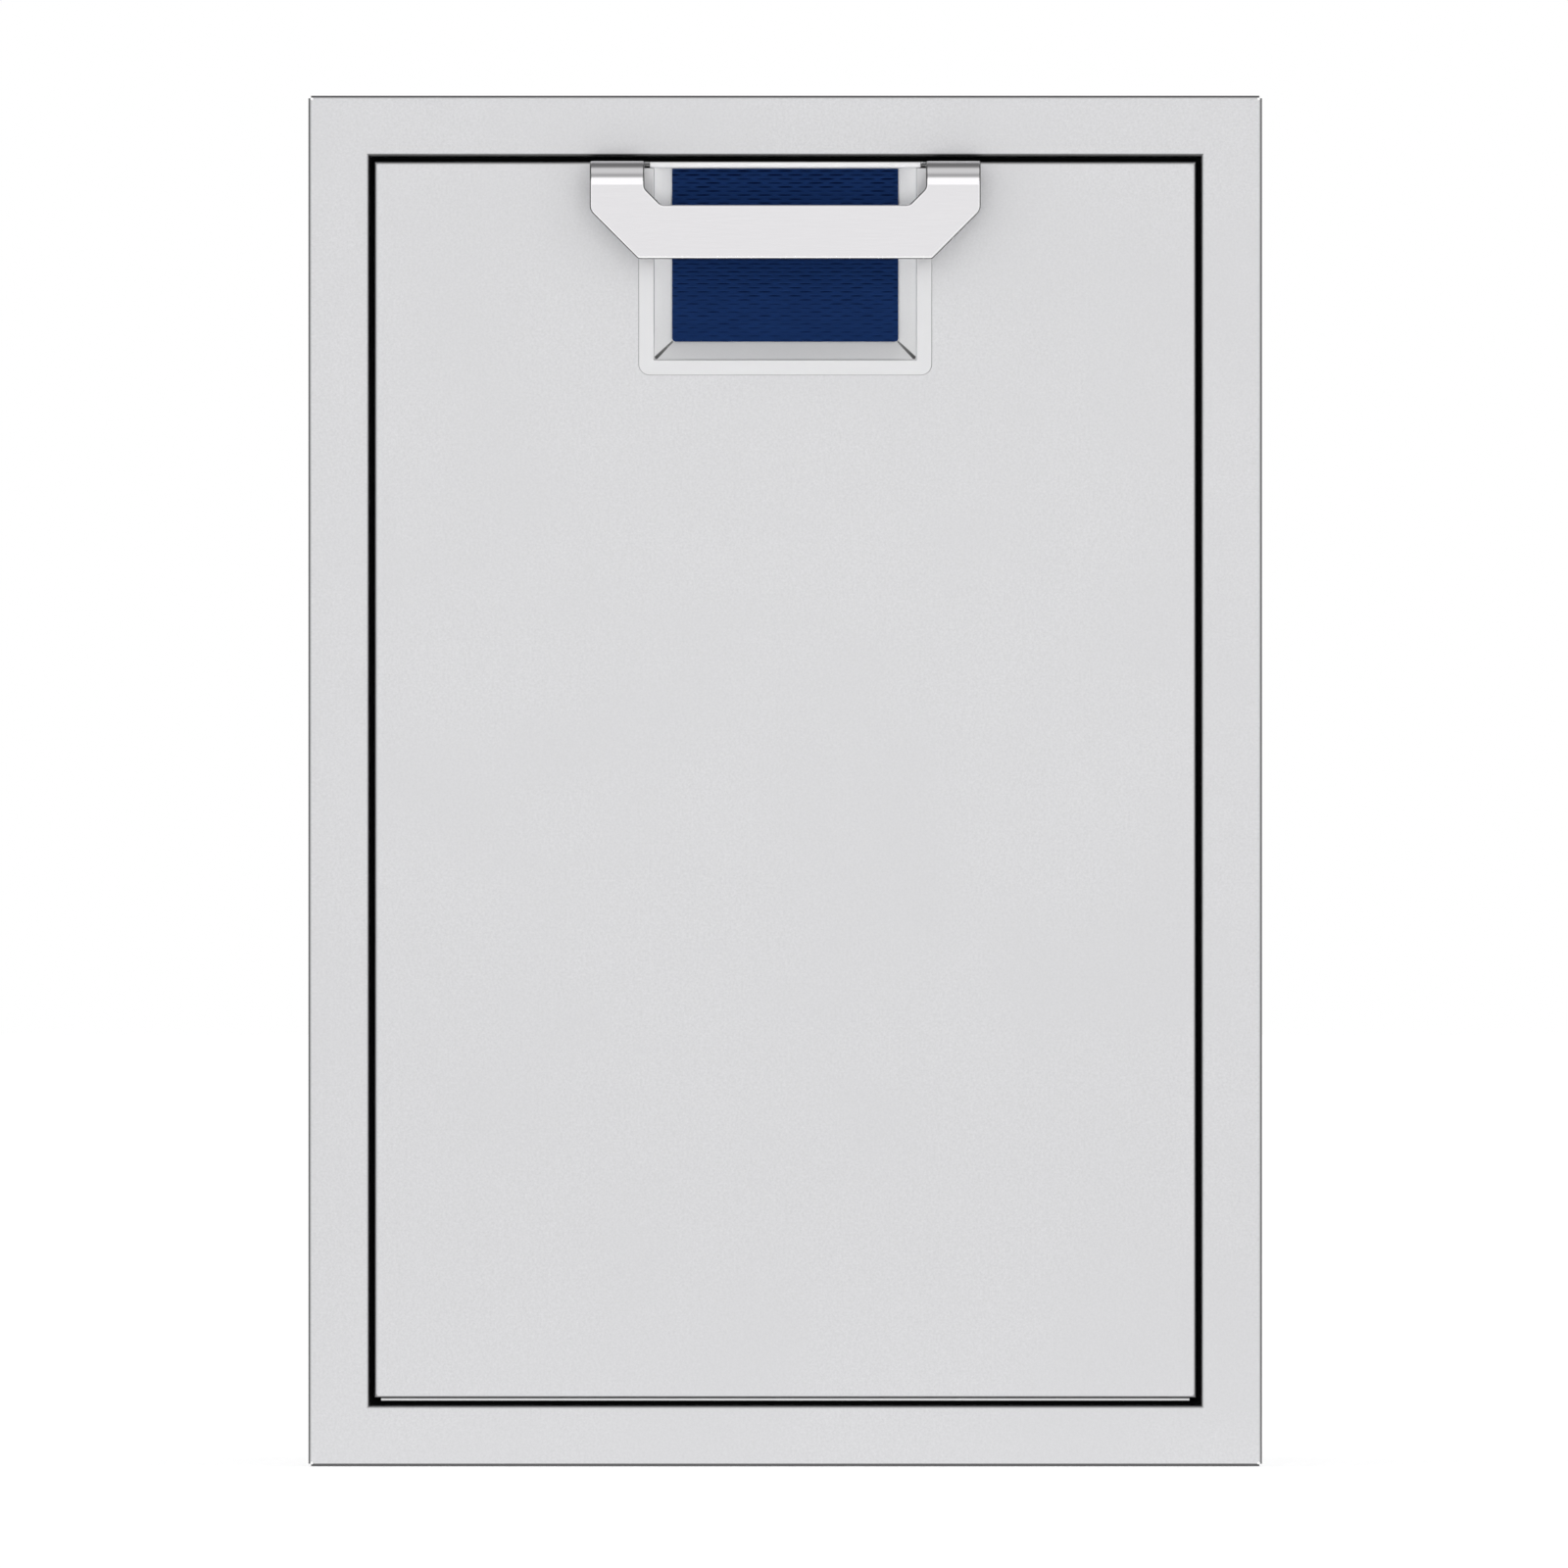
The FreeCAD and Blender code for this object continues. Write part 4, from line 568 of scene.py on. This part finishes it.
def plastic(name, colour, roughness, pebble, bump, dust, shine=0.5):
    """Moulded plastic or rubber with a fine pebbled skin and a little dust."""
    material, tree, shader = new_finish(name)
    shader.inputs["Specular IOR Level"].default_value = shine
    cells = add(tree, "ShaderNodeTexVoronoi", {"Vector": object_place(tree), "Scale": pebble})
    wipes = use(tree, WIPES)
    edges = use(tree, EDGES, {"Radius": 0.5 * MM})
    settled = use(tree, DUST, {"Amount": dust})
    pale = shaded(colour, CLOUDED_PLASTIC)
    worn = shaded(colour, RUBBED_PLASTIC)
    dusty = tuple(0.35 + 0.2 * c for c in colour)
    clouded = blended(tree, ranged(tree, wipes.outputs["Mark"], 0.0, 1.0, 0.0, 0.7), colour, pale)
    rubbed = blended(tree, maths(tree, "MULTIPLY", edges.outputs["Edge"], 0.35), clouded, worn)
    finished = blended(tree, settled.outputs["Dust"], rubbed, dusty)
    tree.links.new(finished, shader.inputs["Base Color"])
    rough = ranged(tree, wipes.outputs["Mark"], 0.0, 1.0, roughness - 0.05, roughness + 0.08)
    tree.links.new(rough, shader.inputs["Roughness"])
    relief = add(
        tree,
        "ShaderNodeBump",
        {
            "Strength": 0.6,
            "Distance": bump,
            "Height": cells.outputs["Distance"],
            "Normal": edges.outputs["Normal"],
        },
    )
    tree.links.new(relief.outputs["Normal"], shader.inputs["Normal"])
    return material


def blue_emboss():
    """Dark blue coat on the embossed metal insert, lighter toward its top by painted light and with painted
    shade in its grooves.
    """
    material, tree, shader = new_finish("blue_emboss", 1.0)
    depth = add(tree, "ShaderNodeAttribute", attribute_name="groove").outputs["Fac"]
    grain = use(tree, GRAIN, {"Fineness": 700.0, "Stretch": (0.35, 1.0, 1.0)})
    low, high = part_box("bezel_insert")
    place = add(tree, "ShaderNodeSeparateXYZ", {"Vector": object_place(tree)}).outputs
    # Painted light: the coat lightens toward the top, where the handle and lip shade it; the streaks are its
    # own tone
    level = ranged(tree, place["Z"], low.z, high.z, 0.0, 0.5)
    cloud = maths(tree, "MULTIPLY", grain.outputs["Streak"], 0.5)
    share = maths(tree, "ADD", cloud, level)
    coat_and_painted_light = blended(tree, share, shaded(BLUE_COLOUR, 0.82), shaded(BLUE_COLOUR, 1.18))
    # Painted shade in the grooves, by their depth
    sunk = blended(tree, ranged(tree, depth, 0.05, 1.05, 0.0, 1.0), coat_and_painted_light, GROOVE_PAINTED_SHADE)
    tree.links.new(sunk, shader.inputs["Base Color"])
    tree.links.new(ranged(tree, grain.outputs["Grain"], 0.3, 0.7, 0.42, 0.52), shader.inputs["Roughness"])
    relief = add(
        tree,
        "ShaderNodeBump",
        {"Strength": 0.4, "Distance": 2e-5, "Height": grain.outputs["Grain"]},
    )
    tree.links.new(relief.outputs["Normal"], shader.inputs["Normal"])
    return material


finishes = {
    "face_stainless": satin_face("face_stainless", FRAME_EDGES),
    "front_stainless": satin_face("front_stainless", FRONT_EDGES),
    # Painted shade on the handle's rounded edges
    "polished_stainless": metal(
        "polished_stainless", HANDLE_COLOUR, polish=0.06, fineness=1200.0, run=ACROSS, spread=0.01,
        tone=0.004, streak=0.01, wipe=0.0, plate_edge=1.0, turning=HANDLE_EDGES, edge=0.1 * MM, bump=1e-7,
    ),
    "bezel_stainless": recess_pan(),
    # Painted shade on the folds of the cabinet panels and the carrier
    "panel_stainless": metal(
        "panel_stainless", CABINET_COLOUR, polish=0.38, fineness=600.0, run=UPRIGHT, fold=0.3, metallic=0.6,
        welds=True,
    ),
    "carrier_steel": metal(
        "carrier_steel", CARRIER_COLOUR, polish=0.36, fineness=600.0, run=INWARD, fold=0.3, metallic=0.7
    ),
    "zinc_steel": metal(
        "zinc_steel", ZINC_COLOUR, polish=0.28, fineness=900.0, run=INWARD, spread=0.03, tone=0.02,
        streak=0.06, edge=0.2 * MM, bump=1e-6, metallic=0.8,
    ),
    "cage_steel": metal(
        "cage_steel", ZINC_COLOUR, polish=0.32, fineness=800.0, run=INWARD, tone=0.04, edge=0.1 * MM,
        bump=2e-6,
    ),
    "bearing_balls": metal(
        "bearing_balls", BALL_COLOUR, polish=0.10, fineness=900.0, run=EVEN, spread=0.02, streak=0.0,
        edge=0.1 * MM, bump=2e-7,
    ),
    "fastener_steel": metal(
        "fastener_steel", FASTENER_COLOUR, polish=0.30, fineness=1500.0, run=EVEN, tone=0.05, wipe=0.08,
        edge=0.2 * MM, metallic=0.8,
    ),
    "black_rubber": plastic(
        "black_rubber", RUBBER_COLOUR, roughness=0.7, pebble=1500.0, bump=3e-5, dust=0.05, shine=0.12
    ),
    "bin_plastic": plastic("bin_plastic", BIN_COLOUR, roughness=0.45, pebble=900.0, bump=8e-5, dust=0.10),
    "lever_plastic": plastic(
        "lever_plastic", LEVER_COLOUR, roughness=0.4, pebble=1200.0, bump=5e-5, dust=0.05
    ),
    "blue_emboss": blue_emboss(),
}


def coat(piece, finish):
    piece.data.materials.clear()
    piece.data.materials.append(finishes[finish])


def dress_solids():
    """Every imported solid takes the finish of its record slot; drawer front and recess pan have their own."""
    for part in frame["record"]["subparts"]:
        coat(solids[part["node"]], part["material_slot"])
    coat(solids["front_skin"], "front_stainless")
    coat(solids["handle_bezel"], "bezel_stainless")


def piece_from(name, shape, finish, smooth=True):
    """Finished object from a bmesh, at the origin, with its finish."""
    mesh = bpy.data.meshes.new(name)
    bmesh.ops.recalc_face_normals(shape, faces=shape.faces)
    for face in shape.faces:
        face.smooth = smooth
    shape.to_mesh(mesh)
    shape.free()
    piece = bpy.data.objects.new(name, mesh)
    bpy.context.scene.collection.objects.link(piece)
    coat(piece, finish)
    return piece


def stand_in(piece, node):
    """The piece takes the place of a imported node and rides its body."""
    body = next(name for name, members in bodies.items() if node in members)
    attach(piece, body)
    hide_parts(node)


def between(first, last, share):
    return first + (last - first) * share


def groove_share(across, row_height, level):
    """How deep a point lies in a groove, as a share of GROOVE_DEPTH, by its place in the groove's cell.

    level goes from 0 to 1 up the plate: the grooves grow longer, taller and deeper toward its top.
    """
    half_length = between(LOW_GROOVE_HALF_LENGTH, TOP_GROOVE_HALF_LENGTH, level)
    half_height = between(LOW_GROOVE_HALF_HEIGHT, TOP_GROOVE_HALF_HEIGHT, level)
    press = between(LOW_GROOVE_PRESS, TOP_GROOVE_PRESS, level)
    along = 1.0 - (across / half_length) ** 2
    if along <= 0:
        return 0.0
    taper = along ** GROOVE_TAPER
    rise = 1.0 - (row_height / (half_height * taper)) ** 2
    return press * max(0.0, rise) * taper


def round_low_corner(point, half_width, bottom):
    """Pulls a point of the plate into its rounded lower corner."""
    corner_x = half_width - INSERT_CORNER
    corner_z = bottom + INSERT_CORNER
    out_x = abs(point.x) - corner_x
    out_z = corner_z - point.z
    if out_x <= 0 or out_z <= 0:
        return
    shrink = max(out_x, out_z) / math.hypot(out_x, out_z)
    point.x = math.copysign(corner_x + out_x * shrink, point.x)
    point.z = corner_z - out_z * shrink


def recess_insert():
    """Blue plate at the back of the recess, with staggered lens-shaped grooves pressed into it."""
    low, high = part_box("bezel_insert")
    width = high.x - low.x
    height = high.z - low.z
    pitch = width / GROOVE_COLUMNS
    row = height / GROOVE_ROWS
    shape = bmesh.new()
    bmesh.ops.create_grid(
        shape, x_segments=GROOVE_COLUMNS * COLUMN_STEPS, y_segments=GROOVE_ROWS * ROW_STEPS, size=0.5
    )
    bmesh.ops.scale(shape, vec=(width, height, 1.0), verts=shape.verts)
    bmesh.ops.rotate(shape, matrix=Matrix.Rotation(math.pi / 2, 3, "X"), verts=shape.verts)
    bmesh.ops.translate(shape, vec=(0.0, low.y, (low.z + high.z) / 2), verts=shape.verts)
    depth = shape.verts.layers.float.new("groove")
    chance = random.Random(GROOVE_SEED)
    strengths = [
        [chance.uniform(WEAKEST_GROOVE, 1.0) for _ in range(GROOVE_COLUMNS + 2)] for _ in range(GROOVE_ROWS)
    ]
    for vertex in shape.verts:
        level = (vertex.co.z - low.z) / row
        index = min(int(level), GROOVE_ROWS - 1)
        column = max(0.0, (vertex.co.x - low.x) / pitch + 0.5 * (index % 2))
        across = (column % 1.0 - 0.5) * pitch
        share = groove_share(across, (level - index - 0.5) * row, level / GROOVE_ROWS)
        share *= strengths[index][int(column)]
        vertex[depth] = share
        vertex.co.y += share * GROOVE_DEPTH
        round_low_corner(vertex.co, width / 2, low.z)
    rim = [edge for edge in shape.edges if edge.is_boundary]
    for edge in rim:
        edge.smooth = False
    walls = bmesh.ops.extrude_edge_only(shape, edges=rim)["geom"]
    back = [item for item in walls if isinstance(item, bmesh.types.BMVert)]
    for vertex in back:
        vertex.co.y = high.y
        vertex[depth] = 0.0
    back_edges = [edge for edge in shape.edges if edge.is_boundary]
    bmesh.ops.contextual_create(shape, geom=back_edges)
    stand_in(piece_from("recess_insert", shape, "blue_emboss"), "bezel_insert")


def clumps(node):
    """Points of each separate solid in a packed group, told apart by their distance."""
    found = []
    for vertex in solids[node].data.vertices:
        point = vertex.co.copy()
        near = next((clump for clump in found if (clump[0] - point).length < CLUMP_REACH), None)
        if near is None:
            found.append([point])
        else:
            near.append(point)
    return found


def span(points):
    low = Vector([min(point[i] for point in points) for i in range(3)])
    high = Vector([max(point[i] for point in points) for i in range(3)])
    return low, high


def ring(shape, radius, height, corners):
    """Closed loop of RING_STEPS edges at a height on the axis, round or with some corners."""
    known = set(shape.edges)
    made = bmesh.ops.create_circle(shape, segments=corners or RING_STEPS, radius=radius)["verts"]
    bmesh.ops.translate(shape, vec=(0.0, 0.0, height), verts=made)
    loop = [edge for edge in shape.edges if edge not in known]
    if corners:
        bmesh.ops.subdivide_edges(shape, edges=loop, cuts=RING_STEPS // corners - 1)
        loop = [edge for edge in shape.edges if edge not in known]
    return loop


def turned(name, rings):
    """Mesh turned up from rings along +Z, closed at both ends; each ring is (radius, height, corners)."""
    shape = bmesh.new()
    loops = [ring(shape, *values) for values in rings]
    for lower, upper in zip(loops, loops[1:]):
        bmesh.ops.bridge_loops(shape, edges=lower + upper)
    bmesh.ops.contextual_create(shape, geom=loops[0])
    bmesh.ops.contextual_create(shape, geom=loops[-1])
    bmesh.ops.recalc_face_normals(shape, faces=shape.faces)
    mesh = bpy.data.meshes.new(name)
    shape.to_mesh(mesh)
    shape.free()
    return mesh


def threaded_shank(radius, length):
    """Rings of a threaded shank from its blunt tip up to height 0."""
    rings = [(radius * BLUNT_TIP, -length, 0), (radius * THREAD_ROOT, -length + THREAD_PITCH / 2, 0)]
    height = -length + THREAD_PITCH
    while height < -THREAD_PITCH:
        rings.append((radius, height, 0))
        rings.append((radius * THREAD_ROOT, height + THREAD_PITCH / 2, 0))
        height += THREAD_PITCH
    rings.append((radius, -THREAD_PITCH / 3, 0))
    return rings


def hex_head():
    """Rings of a washer-faced hexagon head with a chamfered, dished top."""
    return [
        (WASHER_RADIUS, 0.0, 0),
        (WASHER_RADIUS, WASHER_HEIGHT * 0.7, 0),
        (HEX_RADIUS, WASHER_HEIGHT, 6),
        (HEX_RADIUS, HEAD_HEIGHT * 0.86, 6),
        (HEX_RADIUS * 0.84, HEAD_HEIGHT, 0),
        (HEX_RADIUS * 0.50, HEAD_HEIGHT, 0),
        (HEX_RADIUS * 0.40, HEAD_HEIGHT * 0.88, 0),
    ]


def flush_head(radius):
    """Rings of a countersunk head, flush at height 0, with a six-sided socket."""
    return [
        (radius * FLUSH_HEAD_SHARE, -FLUSH_HEAD_EDGE, 0),
        (radius * FLUSH_HEAD_SHARE, 0.0, 0),
        (SOCKET_RADIUS * SOCKET_FLARE, 0.0, 6),
        (SOCKET_RADIUS, -SOCKET_CHAMFER, 6),
        (SOCKET_RADIUS, -SOCKET_DEPTH, 6),
    ]


def end_radius(points, axis, level):
    """Radius of a solid's round end at a level on the axis."""
    edge = [point for point in points if abs(point[axis] - level) < END_REACH]
    low, high = span(edge)
    return max((high - low)[i] for i in range(3) if i != axis) / 2


def screws(node, axis, flush=False):
    """Detailed screws in the places of a packed group; the thicker end of each solid is its head."""
    shape = bmesh.new()
    for points in clumps(node):
        low, high = span(points)
        ends = [(end_radius(points, axis, level), level) for level in (low[axis], high[axis])]
        (radius, tip), (head_radius, top) = sorted(ends)
        outward = Vector((0.0, 0.0, 0.0))
        outward[axis] = math.copysign(1.0, top - tip)
        seat = (low + high) / 2
        if flush:
            seat[axis] = top
            rings = threaded_shank(radius, abs(top - tip))
            rings = [values for values in rings if values[1] < -COUNTERSINK_HEIGHT]
            mesh = turned(node, rings + [(radius, -COUNTERSINK_HEIGHT, 0)] + flush_head(head_radius))
        else:
            seat[axis] = top - outward[axis] * HEAD_HEIGHT
            mesh = turned(node, threaded_shank(radius, abs(top - tip) - HEAD_HEIGHT) + hex_head())
        known = len(shape.verts)
        shape.from_mesh(mesh)
        shape.verts.ensure_lookup_table()
        turn = Vector((0.0, 0.0, 1.0)).rotation_difference(outward).to_matrix().to_4x4()
        bmesh.ops.transform(shape, matrix=Matrix.Translation(seat) @ turn, verts=shape.verts[known:])
        bpy.data.meshes.remove(mesh)
    stand_in(piece_from(node + "_turned", shape, "fastener_steel", smooth=False), node)


def ball_rows(node):
    """Full rows of balls between the end balls of a cage."""
    ends = [span(points) for points in clumps(node)]
    shape = bmesh.new()
    levels = sorted({round((low.z + high.z) / 2, 5) for low, high in ends})
    for level in levels:
        row = [(low, high) for low, high in ends if abs((low.z + high.z) / 2 - level) < MM]
        first, last = sorted(((low + high) / 2 for low, high in row), key=lambda centre: centre.y)
        radius = (row[0][1].y - row[0][0].y) / 2
        for i in range(BALLS_IN_ROW):
            centre = first.lerp(last, i / (BALLS_IN_ROW - 1))
            place = Matrix.Translation(centre)
            bmesh.ops.create_icosphere(shape, subdivisions=BALL_SUBDIVISIONS, radius=radius, matrix=place)
    stand_in(piece_from(node + "_row", shape, "bearing_balls"), node)


def studio_bands(tree, turn, bands):
    """Brightness by how far a direction turns from straight in front, as a share of a half turn."""
    ramp = add(tree, "ShaderNodeValToRGB", {"Fac": turn})
    stops = ramp.color_ramp.elements
    while len(stops) < len(bands):
        stops.new(1.0)
    for stop, (degrees, level) in zip(stops, bands):
        stop.position = degrees / 180.0
        shade = level / STUDIO_PEAK
        stop.color = (shade, shade, shade, 1.0)
    return ramp.outputs["Color"]


def studio_world():
    """White to the camera; to the metal, a bright front with soft darker bands round it."""
    world = bpy.data.worlds.new("studio")
    world.use_nodes = True
    bpy.context.scene.world = world
    tree = world.node_tree
    tree.nodes.clear()
    direction = add(tree, "ShaderNodeTexCoord").outputs["Generated"]
    across, inward, upward = add(tree, "ShaderNodeSeparateXYZ", {"Vector": direction}).outputs
    turn = maths(tree, "DIVIDE", maths(tree, "ARCCOSINE", maths(tree, "MULTIPLY", inward, -1.0)), math.pi)
    side_square = maths(tree, "MULTIPLY", across, across)
    off_axis = maths(tree, "ADD", side_square, maths(tree, "MULTIPLY", upward, upward))
    sideways = ranged(tree, maths(tree, "DIVIDE", side_square, off_axis), *SIDEWAYS_BLEND, 0.0, 1.0)
    seen_in_metal = blended(
        tree, sideways, studio_bands(tree, turn, UPWARD_BANDS), studio_bands(tree, turn, SIDEWAYS_BANDS)
    )
    rays = add(tree, "ShaderNodeLightPath")
    from_sides = maths(tree, "MULTIPLY", side_square, (FILL_SIDES - FILL_AROUND) / STUDIO_PEAK)
    level = maths(tree, "ADD", from_sides, FILL_AROUND / STUDIO_PEAK)
    fill = ranged(tree, upward, *ABOVE_BLEND, level, FILL_ABOVE / STUDIO_PEAK)
    lit = blended(tree, rays.outputs["Is Glossy Ray"], fill, seen_in_metal)
    white = (1.0 / STUDIO_PEAK,) * 3
    shown = blended(tree, rays.outputs["Is Camera Ray"], lit, white)
    sky = add(tree, "ShaderNodeBackground", {"Color": shown, "Strength": STUDIO_PEAK})
    out = tree.nodes.new("ShaderNodeOutputWorld")
    tree.links.new(sky.outputs["Background"], out.inputs["Surface"])


def floor_finish():
    """White to the camera and in reflections, with painted light at the drawer's foot seen only in metal, and
    its soft shadow left on it.
    """
    material = bpy.data.materials.new("studio_floor")
    material.use_nodes = True
    tree = material.node_tree
    tree.nodes.clear()
    rays = add(tree, "ShaderNodeLightPath")
    seen = maths(tree, "MAXIMUM", rays.outputs["Is Camera Ray"], rays.outputs["Is Transmission Ray"])
    paint = add(tree, "ShaderNodeBsdfDiffuse", {"Color": (FLOOR_PAINT, FLOOR_PAINT, FLOOR_PAINT, 1.0)})
    to_eye = maths(tree, "MULTIPLY", seen, FLOOR_GLOW)
    reach = add(tree, "ShaderNodeVectorMath", {0: object_place(tree)}, operation="LENGTH").outputs["Value"]
    # Painted light: the floor glows brighter in metal near the drawer's foot, lightening the lower metal
    strongest = FLOOR_GLOW_IN_METAL + FLOOR_PAINTED_LIGHT_AT_FOOT
    mirrored = ranged(tree, reach, FOOT_GLOW_NEAR, FOOT_GLOW_FAR, strongest, FLOOR_GLOW_IN_METAL)
    to_metal = maths(tree, "MULTIPLY", rays.outputs["Is Glossy Ray"], mirrored)
    strength = maths(tree, "ADD", to_eye, to_metal)
    glow = add(tree, "ShaderNodeEmission", {"Color": (1.0, 1.0, 1.0, 1.0), "Strength": strength})
    both = tree.nodes.new("ShaderNodeAddShader")
    tree.links.new(paint.outputs[0], both.inputs[0])
    tree.links.new(glow.outputs[0], both.inputs[1])
    out = tree.nodes.new("ShaderNodeOutputMaterial")
    tree.links.new(both.outputs[0], out.inputs["Surface"])
    return material


def studio_floor():
    shape = bmesh.new()
    bmesh.ops.create_grid(shape, x_segments=4, y_segments=4, size=FLOOR_REACH)
    bmesh.ops.translate(shape, vec=(0.0, 0.0, cad_low.z - FLOOR_GAP), verts=shape.verts)
    mesh = bpy.data.meshes.new("studio_floor")
    shape.to_mesh(mesh)
    shape.free()
    floor = bpy.data.objects.new("studio_floor", mesh)
    bpy.context.scene.collection.objects.link(floor)
    mesh.materials.append(floor_finish())


def soft_lamp(name, place, target, size, energy):
    light = bpy.data.lights.new(name, "AREA")
    light.shape = "DISK"
    light.size = size
    light.energy = energy
    lamp = bpy.data.objects.new(name, light)
    lamp.location = place
    lamp.rotation_euler = (Vector(target) - Vector(place)).to_track_quat("-Z", "Y").to_euler()
    lamp.visible_glossy = False
    lamp.visible_camera = False
    bpy.context.scene.collection.objects.link(lamp)


def photo_camera():
    """Straight at the front, from far away, framed as in the photograph."""
    data = bpy.data.cameras.new("photo_camera")
    data.lens = LENS
    data.sensor_width = SENSOR
    data.clip_end = VIEW_REACH
    camera = bpy.data.objects.new("photo_camera", data)
    distance = LENS * PICTURE_WIDTH / SENSOR
    low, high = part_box("face_frame")
    middle = (low + high) / 2
    camera.location = (middle.x + PICTURE_SHIFT_X, low.y - distance, middle.z + PICTURE_SHIFT_Z)
    camera.rotation_euler = (math.pi / 2, 0.0, 0.0)
    bpy.context.scene.collection.objects.link(camera)
    bpy.context.scene.camera = camera


dress_solids()
recess_insert()
for group, axis in HEXAGON_SCREWS.items():
    screws(group, axis)
screws("slide_outer_screws", 0, flush=True)
for side in ("left", "right"):
    ball_rows("outer_balls_" + side)
    ball_rows("inner_balls_" + side)
studio_world()
studio_floor()
soft_lamp("front_lamp", LAMP_PLACE, LAMP_TARGET, LAMP_SIZE, LAMP_POWER)
photo_camera()
bpy.context.scene.view_settings.view_transform = "Standard"
